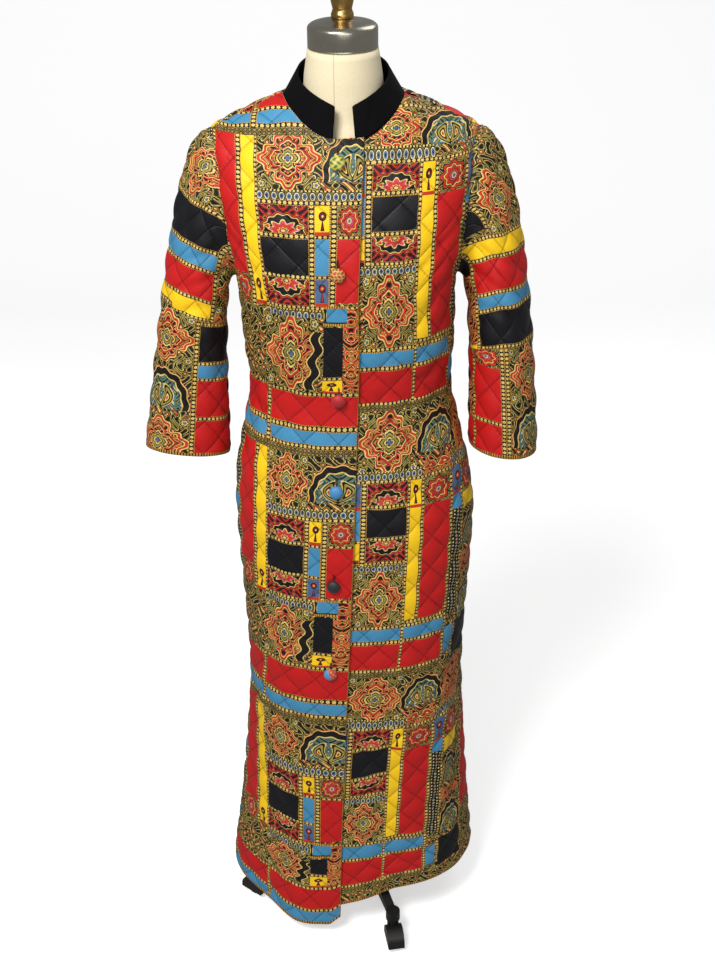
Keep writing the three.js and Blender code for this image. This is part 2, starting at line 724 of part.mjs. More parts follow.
function buttonMesh(index) {
  const { radius, dome, rim, shank, shankLength, sides } = BUTTON;
  const profile = [[0, 0], [shank, 0], [shank, shankLength], [radius, shankLength]];
  for (const degrees of [10, 42, 68]) {
    const angle = THREE.MathUtils.degToRad(degrees);
    profile.push([radius * Math.cos(angle), shankLength + rim + (dome - rim) * Math.sin(angle)]);
  }
  profile.push([0, shankLength + dome]);
  const mesh = new THREE.Mesh(turned(profile, sides), material('print', BUTTON_COLOURS[index]));
  mesh.name = `robe_button_${index + 1}`;
  const rise = riseAtHeight(BUTTON_HEIGHTS[index]);
  const swing = swingAt(rise);
  const seat = bodyOffset(FRONT, swing, rise, lapHeight(rise) + SEAM_GAP + 0.2);
  const outward = bodyOffset(FRONT, swing, rise, 100).sub(bodyPoint(FRONT, swing, rise)).normalize();
  mesh.position.copy(seat);
  mesh.quaternion.setFromUnitVectors(new THREE.Vector3(0, 0, 1), outward);
  return mesh;
}

// The distance up the cloth at which the centre front reaches a height.
function riseAtHeight(height) {
  let rise = height;
  for (let pass = 0; pass < 12; pass += 1) {
    rise += height - bodyPoint(FRONT, 0, rise).z;
  }
  return rise;
}

// ---------------------------------------------------------------- the form and its stand

function ringStack(rings, levels, columns) {
  const points = [];
  const faces = [];
  for (const level of levels) {
    const row = smoothRow(rings, level);
    for (let c = 0; c < columns; c += 1) {
      const angle = (c * Math.PI * 2) / columns;
      const depth = Math.cos(angle) > 0 ? row.front : row.back;
      const radius = squareRadius(angle, row.half, depth, row.power);
      points.push(new THREE.Vector3(radius * Math.sin(angle), -radius * Math.cos(angle), level));
    }
  }
  for (let r = 0; r < levels.length - 1; r += 1) {
    for (let c = 0; c < columns; c += 1) {
      const next = (c + 1) % columns;
      const [a, b] = [r * columns + c, r * columns + next];
      faces.push([a, b, b + columns], [a, b + columns, a + columns]);
    }
  }
  const top = (levels.length - 1) * columns;
  const bottomMiddle = points.push(new THREE.Vector3(0, 0, levels[0])) - 1;
  const topMiddle = points.push(new THREE.Vector3(0, 0, levels.at(-1))) - 1;
  for (let c = 0; c < columns; c += 1) {
    const next = (c + 1) % columns;
    faces.push([bottomMiddle, next, c], [topMiddle, top + c, top + next]);
  }
  return closedGeometry(points, faces);
}

function capGeometry() {
  const { radius, bottom, side, crown } = CAP;
  const base = bottom + SEAM_GAP;
  const profile = [[0, base], [radius, base], [radius, bottom + side]];
  for (const degrees of [30, 65]) {
    const angle = THREE.MathUtils.degToRad(degrees);
    profile.push([radius - 14 * (1 - Math.cos(angle)), bottom + side + 8 * Math.sin(angle)]);
  }
  profile.push([KNOB.foot, bottom + side + crown], [0, bottom + side + crown]);
  return turned(profile, 28);
}

function knobGeometry() {
  const { foot, waist, bulb, height } = KNOB;
  const base = CAP.bottom + CAP.side + CAP.crown + SEAM_GAP;
  const profile = [
    [0, 0], [foot, 0], [foot, 6], [waist, 9.5], [waist, 13], [bulb - 0.8, 22], [bulb, 30], [bulb - 1.5, 38],
    [bulb - 6.5, 47], [0, height],
  ];
  return turned(profile.map(([radius, up]) => [radius, base + up]), 20);
}

function poleGeometry() {
  return uprightCylinder(POLE.radius, POLE.bottom, POLE.top - SEAM_GAP, 20);
}

function hubGeometry() {
  const { radius, bottom, top } = HUB;
  const bore = POLE.radius + SEAM_GAP;
  const profile = [
    [bore, bottom], [radius - 4, bottom], [radius, bottom + 4], [radius, top - 20], [radius - 12, top - 6],
    [radius - 14, top], [bore, top], [bore, bottom],
  ];
  return turned(profile, 20);
}

// A leg along +X: an arched bar from the hub to its caster's socket, with the stem's bore.
function legGeometry() {
  const start = HUB.radius + SEAM_GAP;
  const shape = new THREE.Shape();
  shape.moveTo(start, 66);
  shape.lineTo(start, 96);
  shape.quadraticCurveTo(start + 60, 92, LEG.reach - 40, 74);
  shape.quadraticCurveTo(LEG.reach - 20, 66, LEG.reach - 4, 63);
  shape.lineTo(LEG.reach - 4, 52);
  shape.quadraticCurveTo(LEG.reach - 60, 58, start + 40, 66);
  shape.closePath();
  const bar = new THREE.ExtrudeGeometry(shape, { depth: LEG.thick, bevelEnabled: false, curveSegments: 4 });
  bar.rotateX(Math.PI / 2).translate(0, LEG.thick / 2, 0);
  const socket = uprightCylinder(LEG.socket, LEG.socketBottom, LEG.socketTop, 16).translate(LEG.reach, 0, 0);
  const bore = uprightCylinder(STEM.radius + STEM.clearance, 0, STEM.boreTop, 12).translate(LEG.reach, 0, 0);
  return geometryFrom(solidFrom(bar).add(solidFrom(socket)).subtract(solidFrom(bore)));
}

// A caster stands at the origin with its swivel on the Z axis, and its wheel trails along +X.
const AXLE_HEIGHT = WHEEL.radius;

function acrossCylinder(radius, width, sides) {
  return new THREE.CylinderGeometry(radius, radius, width, sides).translate(TRAIL, 0, AXLE_HEIGHT);
}

function hoodGeometry() {
  const { radius, width, space, inside, skirt, boss, top, pin } = HOOD;
  const shape = new THREE.Shape();
  shape.moveTo(radius, skirt - AXLE_HEIGHT);
  shape.lineTo(radius, 0);
  shape.absarc(0, 0, radius, 0, Math.PI, false);
  shape.lineTo(-radius, skirt - AXLE_HEIGHT);
  shape.closePath();
  const cover = new THREE.ExtrudeGeometry(shape, { depth: width, bevelEnabled: false, curveSegments: 10 });
  cover.rotateX(Math.PI / 2).translate(TRAIL, width / 2, AXLE_HEIGHT);
  const neck = uprightCylinder(boss, AXLE_HEIGHT + 4, top, 14);
  const stem = uprightCylinder(STEM.radius, top - 2, STEM.top, 12);
  const wheelSpace = solidFrom(acrossCylinder(space, inside, 24));
  const axle = solidFrom(acrossCylinder(pin, width - 1, 12));
  const body = solidFrom(cover).add(solidFrom(neck)).subtract(wheelSpace);
  return geometryFrom(body.add(solidFrom(stem)).add(axle));
}

function wheelGeometry() {
  const { radius, width, edge, sides, bore } = WHEEL;
  const rim = radius / Math.cos(Math.PI / sides);
  const half = width / 2;
  const profile = [
    [bore, -half], [rim - edge, -half], [rim, edge - half], [rim, half - edge], [rim - edge, half],
    [bore, half], [bore, -half],
  ];
  const wheel = turned(profile, sides).rotateX(Math.PI / 2);
  return wheel.rotateY(Math.PI / sides).translate(TRAIL, 0, AXLE_HEIGHT);
}

// ---------------------------------------------------------------- the model

function named(name, geometry, surface) {
  const mesh = new THREE.Mesh(geometry, surface);
  mesh.name = name;
  return mesh;
}

function robe() {
  const group = new THREE.Group();
  group.add(named('robe_front_right', geometryFrom(rightFront()), material('print')));
  group.add(named('robe_front_left', geometryFrom(leftFront()), material('print')));
  group.add(named('robe_back', geometryFrom(backPanel()), material('print')));
  for (const sleeve of SLEEVES) {
    group.add(named(sleeve.name, geometryFrom(sleeveSolid(sleeve)), material('print')));
  }
  group.add(named('robe_collar', geometryFrom(collarSolid()), material('velvet')));
  BUTTON_HEIGHTS.forEach((height, index) => group.add(buttonMesh(index)));
  return group;
}

function dressForm() {
  const group = new THREE.Group();
  group.add(named('form_torso', ringStack(FORM_RINGS, FORM_LEVELS, FORM_COLUMNS), material('linen')));
  group.add(named('neck_cap', capGeometry(), material('steel')));
  group.add(named('neck_knob', knobGeometry(), material('brass')));
  group.add(named('pole', poleGeometry(), material('steel')));
  group.add(named('base_hub', hubGeometry(), material('iron')));
  return group;
}

function legWithCaster(index) {
  const arm = new THREE.Group();
  arm.rotation.z = THREE.MathUtils.degToRad(LEG.first + 90 * index);
  arm.add(named(`base_leg_${index + 1}`, legGeometry(), material('iron')));
  const caster = new THREE.Group();
  caster.position.x = LEG.reach;
  caster.rotation.z = THREE.MathUtils.degToRad(CASTER_HEADINGS[index]) - arm.rotation.z;
  caster.add(named(`caster_${index + 1}_hood`, hoodGeometry(), material('iron')));
  caster.add(named(`caster_${index + 1}_wheel`, wheelGeometry(), material('tread')));
  arm.add(caster);
  return arm;
}

function robeOnForm() {
  const group = new THREE.Group();
  group.add(robe());
  group.add(dressForm());
  for (let index = 0; index < 4; index += 1) {
    group.add(legWithCaster(index));
  }
  const middle = new THREE.Box3().setFromObject(group, true).getCenter(new THREE.Vector3());
  group.position.set(-middle.x, -middle.y, 0);
  group.updateMatrixWorld(true);
  return group;
}

export default robeOnForm();
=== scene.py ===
"""A quilted robe on a dress form: the surfaces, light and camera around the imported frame.

Lengths are millimetres from the pole's axis, +Z up, until a mesh is made in metres. The robe's front
faces -Y and the wearer's left is +X. A panel's own places are "across", from its button line or
centre, and "up" the cloth.
"""
import math
from collections import namedtuple

import bmesh
import bpy
import numpy as np
from mathutils import Matrix, Vector


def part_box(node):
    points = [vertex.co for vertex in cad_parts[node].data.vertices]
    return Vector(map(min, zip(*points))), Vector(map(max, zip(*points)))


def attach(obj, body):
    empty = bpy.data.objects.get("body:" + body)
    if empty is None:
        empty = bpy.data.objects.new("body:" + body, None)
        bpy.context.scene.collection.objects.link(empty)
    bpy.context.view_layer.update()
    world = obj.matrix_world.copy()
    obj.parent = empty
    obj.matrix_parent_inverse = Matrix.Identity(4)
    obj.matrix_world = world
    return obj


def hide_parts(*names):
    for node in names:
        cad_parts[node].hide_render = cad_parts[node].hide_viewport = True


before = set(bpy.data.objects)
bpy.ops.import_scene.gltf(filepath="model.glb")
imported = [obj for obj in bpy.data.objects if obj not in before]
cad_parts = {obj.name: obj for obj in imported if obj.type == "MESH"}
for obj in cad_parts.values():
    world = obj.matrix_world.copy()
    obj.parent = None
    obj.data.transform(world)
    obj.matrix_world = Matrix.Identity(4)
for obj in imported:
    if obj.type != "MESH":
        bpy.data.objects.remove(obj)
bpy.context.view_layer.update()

MM = 0.001
POLE_LOW, POLE_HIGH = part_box("pole")
AXIS = np.array([(POLE_LOW.x + POLE_HIGH.x) / 2, (POLE_LOW.y + POLE_HIGH.y) / 2, 0.0])

# ---------------------------------------------------------------- the robe's measures

CHEST = 1160
SHOULDER_SPREAD = 0.226  # how much wider the yoke is at its top
EARLY_SPREAD = 0.6  # how much of that comes low down
NECK_SWING = 8  # the button line's shift over NECK_RISE above the chest
NECK_RISE = 300
SHOULDER_TIP_X = 190
SHOULDER_TIP_Z = 1370
SHOULDER_SLOPE = 0.45
ARMHOLE_Z = 1262
ARMHOLE_HALF_Y = 51
ARMHOLE_HALF_Z = 105
NECKLINE_HALF_X = 83
NECKLINE_FRONT = 85
NECKLINE_BACK = 60
SEAM_GAP = 0.3

LAP = 27  # how far each front runs past the button line
LAP_LIFT = 6  # how far the upper front stands off there, fading over LAP_FADE
LAP_FADE = 90
HEM_FADE = 240  # the quilting levels out this far above a slanting hem
FIRST_ROW = 30  # height of a row of crossings
STITCH_ACROSS = 25.4
STITCH_UP = 27.5
WALL_LINE = -2.3  # the shell's place, outward of the body's surface, on a stitched line
WALL_PUFF = 1.3  # in the middle of a diamond
WALL_EDGE = -0.8  # at a hem
WALL_NECK = -1.4  # at the neck
WALL_ARMHOLE = -0.2  # at a sleeve's top
WALL_INNER = -4.3  # the plain inside

RING_COLUMNS = ("z", "half", "front", "back", "power", "swing", "sway")
BODY_RINGS = np.array([
    (20, 219, 160, 150, 2.2, -51, -6),
    (200, 198, 143, 140, 2.2, -50, -1),
    (427, 178, 131, 131, 2.3, -44.5, 4),
    (530, 176, 128, 131, 2.3, -40, 5),
    (779, 185, 126, 135, 2.3, -30, 7),
    (858, 177, 121, 126, 2.3, -24, 4),
    (986, 151, 110, 96, 2.3, -17.5, 3),
    (1067, 154, 119, 96, 2.5, -14, 2),
    (1160, 156, 125, 98, 2.8, -12, 0),
])

# Folds of the skirt: angle round the ring, half width in degrees, depth at the hem, height of the top.
FRONT_FOLDS = [(-58, 20, -7, 560), (-30, 18, 7, 420), (24, 20, -6, 480), (54, 20, 6, 640)]
BACK_FOLDS = [(-60, 20, 6, 620), (-32, 17, -8, 700), (0, 18, 8, 760), (31, 17, -8, 700), (60, 20, 6, 620)]

HEM_RIGHT_FRONT = [(-300, 62), (-190, 60), (-110, 46), (-50, 31), (10, 28), (27, 44)]
HEM_LEFT_FRONT = [(-27, 62), (30, 66), (120, 90), (210, 98), (320, 92)]
HEM_BACK = [(-300, 61), (0, 80), (300, 92)]

FRONT = {"toward": -1, "depth": "front", "round": 2.0, "folds": FRONT_FOLDS}
BACK = {"toward": 1, "depth": "back", "round": 2.8, "folds": BACK_FOLDS}

# A cuff's middle (x, z), half size (x, y), and how much higher it is outward (tilt) and in front (lift).
# flare, leave and arrive shape the lines down a sleeve, at its underarm and at its top.
SLEEVES = {
    "robe_sleeve_right": {
        "side": -1, "cuff": (248, 877), "half": (65, 47), "tilt": 7, "lift": 9,
        "flare": (0.05, 0.19), "leave": (22, 46), "arrive": (90, 160),
    },
    "robe_sleeve_left": {
        "side": 1, "cuff": (235, 876), "half": (53, 57), "tilt": -6, "lift": 2,
        "flare": (0.03, 0.06), "leave": (22, 58), "arrive": (90, 160),
    },
}


# ---------------------------------------------------------------- the body's surface

ARC_STEPS = 72
ARC_END = math.radians(125)


def smooth_row(table, names, heights):
    """Every column of a table at some heights, with smooth slopes through its rows."""
    z = table[:, 0]
    last = len(z) - 1
    k = np.clip(np.searchsorted(z, heights, side="left") - 1, 0, last - 1)
    before = table[np.maximum(k - 1, 0)]
    low = table[k]
    high = table[k + 1]
    after = table[np.minimum(k + 2, last)]
    span = high[:, :1] - low[:, :1]
    f = np.clip((heights[:, None] - low[:, :1]) / span, 0, 1)
    g = 1 - f
    leave = (high - before) / (high[:, :1] - before[:, :1]) * span
    arrive = (after - low) / (after[:, :1] - low[:, :1]) * span
    mixed = low * (1 + 2 * f) * g * g + high * (3 - 2 * f) * f * f + leave * f * g * g - arrive * f * f * g
    return {name: mixed[:, i] for i, name in enumerate(names)}


def body_row(heights):
    """The body's rings, which stop at the chest."""
    return smooth_row(BODY_RINGS, RING_COLUMNS, np.minimum(heights, CHEST))


def square_radius(angle, half, depth, power):
    """Radius of a rounded square's outline. A power of 2 makes it an ellipse."""
    across = np.abs(np.sin(angle) / half) ** power
    along = np.abs(np.cos(angle) / depth) ** power
    return (across + along) ** (-1 / power)


def point_at_length(place, end, lengths):
    """Where arc lengths fall on curves that start at place(0), and how far they run past the end."""
    x, y = place(np.linspace(0, end, ARC_STEPS + 1)[:, None])
    steps = np.hypot(np.diff(x, axis=0), np.diff(y, axis=0))
    walked = np.vstack([np.zeros((1, x.shape[1])), np.cumsum(steps, axis=0)])
    k = np.clip((walked < lengths).sum(axis=0) - 1, 0, ARC_STEPS - 1)[None]

    def pick(values, index):
        return np.take_along_axis(values, index, axis=0)[0]

    f = np.clip((lengths - pick(walked, k)) / pick(steps, k), 0, 1)
    px = pick(x, k) + (pick(x, k + 1) - pick(x, k)) * f
    py = pick(y, k) + (pick(y, k + 1) - pick(y, k)) * f
    return px, py, np.maximum(0, lengths - walked[-1])


def fold_depth(face, angle, height):
    """How far the skirt's folds move the ring out, at an angle and a height."""
    depth = 0
    for middle, spread, deep, top in face["folds"]:
        off = np.minimum(1, np.abs(np.degrees(angle) - middle) / spread)
        depth = depth + deep * np.cos(off * math.pi / 2) ** 2 * np.maximum(0, 1 - height / top)
    return depth


def ring_point(face, row, length):
    sign = np.where(length < 0, -1.0, 1.0)

    def place(angle):
        radius = square_radius(angle, row["half"], row[face["depth"]], row["power"])
        radius = radius + fold_depth(face, sign * angle, row["z"])
        return radius * np.sin(angle), radius * np.cos(angle)

    x, y, _ = point_at_length(place, ARC_END, np.abs(length))
    return sign * x, y


def spread_at(share):
    """How much wider the yoke is than its chest ring, at a share of its height."""
    return 1 + SHOULDER_SPREAD * share * (1 + EARLY_SPREAD * (1 - share))


def shoulder_height(x):
    return SHOULDER_TIP_Z + SHOULDER_SLOPE * (SHOULDER_TIP_X - np.abs(x))


def body_chunk(face, length, rise):
    row = body_row(rise)
    row["z"] = np.minimum(rise, CHEST)
    x, y = ring_point(face, row, length)
    tall = shoulder_height(x * (1 + SHOULDER_SPREAD)) - CHEST

    def place(angle):
        radius = square_radius(angle, 1, 1, face["round"])
        return y * radius * np.cos(angle), tall * radius * np.sin(angle)

    inward, up, past = point_at_length(place, math.pi / 2, np.maximum(0, rise - CHEST))
    high = rise > CHEST
    out_x = np.where(high, x * spread_at(up / tall), x) + row["sway"]
    out_y = face["toward"] * np.where(high, inward - past, y)
    return np.stack([out_x, out_y, np.where(high, CHEST + up, rise)], axis=-1)


def body_point(face, length, rise):
    """Points of the body's surface, by length round the ring and rise up the cloth."""
    chunk = 20000  # keeps the arrays small
    shape = np.broadcast(length, rise).shape
    length = np.broadcast_to(length, shape).ravel().astype(float)
    rise = np.broadcast_to(rise, shape).ravel().astype(float)
    parts = [body_chunk(face, length[i:i + chunk], rise[i:i + chunk]) for i in range(0, len(rise), chunk)]
    return np.concatenate(parts).reshape(shape + (3,))


def body_normal(face, length, rise):
    probe = 3
    across = body_point(face, length + probe, rise) - body_point(face, length - probe, rise)
    up = body_point(face, length, rise + probe) - body_point(face, length, rise - probe)
    return unit(np.cross(across, up) * -face["toward"])


def unit(vectors):
    return vectors / np.maximum(np.linalg.norm(vectors, axis=-1, keepdims=True), 1e-9)


def swing_at(rise):
    """Where the button line has swung to along the front."""
    flat = np.ravel(rise).astype(float)
    row = body_row(flat)
    above = np.maximum(0, flat - CHEST) / NECK_RISE
    return (row["swing"] + NECK_SWING * above).reshape(np.shape(rise))


def first_up(hem):
    """The stitched row nearest to a hem's lowest point."""
    return FIRST_ROW + STITCH_UP * round((min(height for _, height in hem) - FIRST_ROW) / STITCH_UP)


def hem_level(hem, across, up):
    """The rise of a place on the cloth: the quilting levels out above a slanting hem."""
    fade = np.maximum(0, 1 - (up - first_up(hem)) / HEM_FADE) ** 2
    heights = np.interp(across, [a for a, _ in hem], [h for _, h in hem])
    return up + (heights - first_up(hem)) * fade


def ramp(low, high, value):
    f = np.clip((value - low) / (high - low), 0, 1)
    return f * f * (3 - 2 * f)


# ---------------------------------------------------------------- sleeves' surface

SLEEVE_OFF = 3.5  # how far a sleeve's first ring stands off the body
TUBE_TURNS = np.linspace(-math.pi, 2 * math.pi, 217)
TUBE_SHARES = np.linspace(0, 1, 81)
TUBE_UPS = np.arange(0.0, 541.0, 6.0)


def wall_x(y, z):
    """Where the body's surface lies sideways at a point of the armhole."""
    front = y < 0
    row = body_row(z)
    depth = np.where(front, row["front"], row["back"])
    rounded = np.where(front, FRONT["round"], BACK["round"])

    def across_ring(toward):
        share = np.minimum(1, toward / depth)
        return row["half"] * (1 - share ** row["power"]) ** (1 / row["power"])

    x = row["half"].copy()
    for _ in range(40):
        tall = shoulder_height(x * (1 + SHOULDER_SPREAD)) - CHEST
        up = np.clip((z - CHEST) / tall, 0, 0.999)
        x = (x + across_ring(np.abs(y) / (1 - up ** rounded) ** (1 / rounded))) / 2
    tall = shoulder_height(x * (1 + SHOULDER_SPREAD)) - CHEST
    high = x * spread_at(np.minimum(1, (z - CHEST) / tall))
    return np.where(z <= CHEST, across_ring(np.abs(y)) + row["sway"], high)


def sleeve_curves(sleeve, turn):
    """The four control points of a sleeve's line at each turn, from the shoulder to the front."""
    upper = (1 + np.cos(turn)) / 2

    def mix(name):
        bottom, top = sleeve[name]
        return bottom + (top - bottom) * upper

    y = -(ARMHOLE_HALF_Y - SEAM_GAP) * np.sin(turn)
    z = ARMHOLE_Z + (ARMHOLE_HALF_Z - SEAM_GAP) * np.cos(turn)
    start = np.stack([wall_x(y, z) + SLEEVE_OFF, y, z], axis=-1)
    cuff_x, cuff_z = sleeve["cuff"]
    half_x, half_y = sleeve["half"]
    end = np.stack([
        cuff_x + half_x * np.cos(turn),
        -half_y * np.sin(turn),
        cuff_z + sleeve["tilt"] * np.cos(turn) + sleeve["lift"] * np.sin(turn),
    ], axis=-1)
    leave, arrive, zero = mix("leave"), mix("arrive"), np.zeros_like(turn)
    first = start + np.stack([leave, zero, -0.5 * leave * upper], axis=-1)
    second = end + np.stack([-arrive * mix("flare"), zero, arrive], axis=-1)
    return start, first, second, end


def bezier(curves, t):
    start, first, second, end = curves
    t = t[..., None]
    g = 1 - t
    return start * g ** 3 + first * 3 * g * g * t + second * 3 * g * t * t + end * t ** 3


class Tube:
    """A sleeve by distance round it from the front's middle line and distance up from the cuff."""

    def __init__(self, sleeve):
        self.sleeve = sleeve
        self.curves = sleeve_curves(sleeve, TUBE_TURNS)
        lines = bezier([c[:, None] for c in self.curves], TUBE_SHARES[None] + 0 * TUBE_TURNS[:, None])
        steps = np.linalg.norm(np.diff(lines, axis=1), axis=-1)
        walked = np.hstack([np.zeros((len(TUBE_TURNS), 1)), np.cumsum(steps, axis=1)])
        self.length = walked[:, -1]
        self.shares = np.array([
            np.interp(total - TUBE_UPS, line, TUBE_SHARES) for total, line in zip(self.length, walked)
        ])
        round_once = len(TUBE_TURNS) * 2 // 3 + 1
        girths = []
        for share in self.shares.T:
            ring = bezier(self.curves, share)[:round_once]
            girths.append(np.linalg.norm(np.diff(ring, axis=0), axis=-1).sum())
        self.girths = np.array(girths)

    def girth(self, up):
        return np.interp(up, TUBE_UPS, self.girths)

    def turn(self, across, up):
        """Across grows towards the body on a right sleeve and away from it on a left one."""
        return math.pi / 2 - self.sleeve["side"] * across * 2 * math.pi / self.girth(up)

    def reach(self, turn):
        return np.interp(turn, TUBE_TURNS, self.length)

    def point(self, across, up):
        turn = self.turn(across, up)
        past = np.maximum(0, up - self.reach(turn))
        i = (turn - TUBE_TURNS[0]) / (TUBE_TURNS[1] - TUBE_TURNS[0])
        j = np.clip(up, 0, TUBE_UPS[-2]) / (TUBE_UPS[1] - TUBE_UPS[0])
        i0 = np.clip(np.floor(i).astype(int), 0, len(TUBE_TURNS) - 2)
        j0 = np.floor(j).astype(int)
        fi, fj = i - i0, j - j0
        table = self.shares
        share = (
            table[i0, j0] * (1 - fi) * (1 - fj) + table[i0 + 1, j0] * fi * (1 - fj)
            + table[i0, j0 + 1] * (1 - fi) * fj + table[i0 + 1, j0 + 1] * fi * fj
        )
        start, first, second, end = [
            c[i0] * (1 - fi[..., None]) + c[i0 + 1] * fi[..., None] for c in self.curves
        ]
        point = bezier((start, first, second, end), np.where(past > 0, 0, share))
        point[..., 0] -= past
        point[..., 0] *= self.sleeve["side"]
        return point


# ---------------------------------------------------------------- the print's chart

RIGHT_SPAN = (-300, LAP)
LEFT_SPAN = (-LAP, 430)
BACK_SPAN = (-330, 330)
BACK_RISE = 100  # how much higher the print lies on the back

# One repeat of each front's print, as heights up the cloth. field is the top of the big ornament above
# the patches, patch_top and patch_foot bound the black square's column, black is the square itself.
Period = namedtuple("Period", "field wave patch_top black_top black_foot patch_foot line")
RIGHT_PERIODS = [
    Period(1396, 1314, 1294, 1250, 1202, 1158, 1022),
    Period(918, 834, 813, 769, 721, 677, 552),
    Period(440, 352, 330, 287, 239, 197, 108),
]
LEFT_PERIODS = [
    Period(1425, 1368, 1346, 1305, 1258, 1217, 1090),
    Period(987, 889, 872, 831, 784, 742, 622),
    Period(530, 442, 422, 382, 332, 296, 190),
]
# Red band's top and foot, then the blue one's, and the other way round on the left front.
RIGHT_BANDS = [(1468, 1429, 1422, 1403), (1015, 966, 956, 936), (543, 488, 478, 457), (102, 62, 55, 30)]
LEFT_BANDS = [(1083, 1060, 1052, 1001), (617, 596, 588, 542), (184, 158, 151, 100)]


class Chart:
    """Patches of the print, (kind, left, right, bottom, top, flip). A later one lies over an earlier."""

    def __init__(self, left, right, bottom=0, top=1560):
        self.patches = [("vine", left, right, bottom, top, 1)]

    def add(self, kind, left, right, bottom, top):
        """A kind that starts with - lies upside down."""
        self.patches.append((kind.lstrip("-"), left, right, bottom, top, -1 if kind[0] == "-" else 1))

    def stack(self, left, right, top, *rows):
        """Patches from the top down: rows is a kind, its bottom edge, the next kind, and so on."""
        for kind, bottom in zip(rows[::2], rows[1::2]):
            self.add(kind, left, right, bottom, top)
            top = bottom

    def chains(self, bottom, top, *columns):
        for left, right in columns:
            self.add("chain", left, right, bottom, top)

    def patch_column(self, left, right, p):
        """The black square between two lotus patches, with chains."""
        self.stack(
            left, right, p.patch_top + 7, "chain", p.patch_top, "lotus", p.black_top + 7, "chain",
            p.black_top, "black", p.black_foot, "chain", p.black_foot - 7, "-lotus", p.patch_foot,
            "chain", p.patch_foot - 6,
        )


def right_chart():
    """The over panel's print: its own column 0 is the left side of the front edge's red column."""
    chart = Chart(*RIGHT_SPAN)
    edge = RIGHT_SPAN[1]
    for number, p in enumerate(RIGHT_PERIODS):
        top, foot, line = p.patch_top, p.patch_foot, p.line
        middle = -20 if number == 0 else -32
        half_way = (p.black_top + p.black_foot) / 2
        chart.add("medallion", -95, middle, p.wave, p.field)
        chart.add("fan", middle, edge + 16, p.wave, p.field - 4)
        chart.stack(-95, edge, p.wave, "wave", top + 7, "chain", top)
        chart.patch_column(-95, -35, p)
        chart.chains(foot, top, (-35, -27), (-9, 0))
        chart.stack(-27, -9, top, "keyhole_yellow", p.black_top + 6, "chain", p.black_top,
                    "blue", p.black_foot - 1, "chain", p.black_foot - 6, "keyhole_blue", foot)
        chart.stack(0, edge, top, "rosette", p.black_top + 5, "chain", p.black_top, "red", foot + 4)
        chart.add("chain", -95, edge, foot - 6, foot)
        chart.add("wave", -95, -12, foot - 20, foot - 6)
        chart.add("medallion", -101, -22, line, foot - 18)
        chart.add("fan_dark", -44, -10, line + 4, foot - 40)
        chart.add("scroll", 10, edge, line - 4, foot - 4)
        chart.add("chain", -16, 14, foot - 30, foot)
        chart.add("blue", -11, 14, foot - 24, foot - 4)
        chart.stack(-16, 9, foot - 32, "black", line + 26, "chain", line + 20, "keyhole_yellow", line)
        chart.add("chain", -124, edge, line - 8, line)
        # towards the side: a yellow stripe, a red one, a strand of beads and a column of ornament
        chart.stack(-116, -99, p.field, "yellow", half_way - 28, "keyhole_yellow", foot - 8)
        chart.stack(-160, -124, p.field, "red", half_way - 36, "rosette", foot - 12)
        chart.chains(foot - 12, p.field, (-99, -95), (-124, -116), (-168, -160))
        chart.add("dots", -188, -168, foot, p.field)
        leaf = "-fan" if number % 2 else "fan"
        chart.stack(-250, -188, p.field, leaf, top, "yellow", top - 28, "scroll", foot)
        chart.add("blue", -188, -168, top - 24, top)
    for red_top, red_foot, blue_top, blue_foot in RIGHT_BANDS:
        chart.stack(*RIGHT_SPAN, red_top, "red", red_foot, "chain", blue_top, "blue", blue_foot,
                    "chain", blue_foot - 8, "rows", blue_foot - 18)
        chart.chains(blue_foot - 8, red_top + 6, (-103, -95), (-207, -199))
    return chart


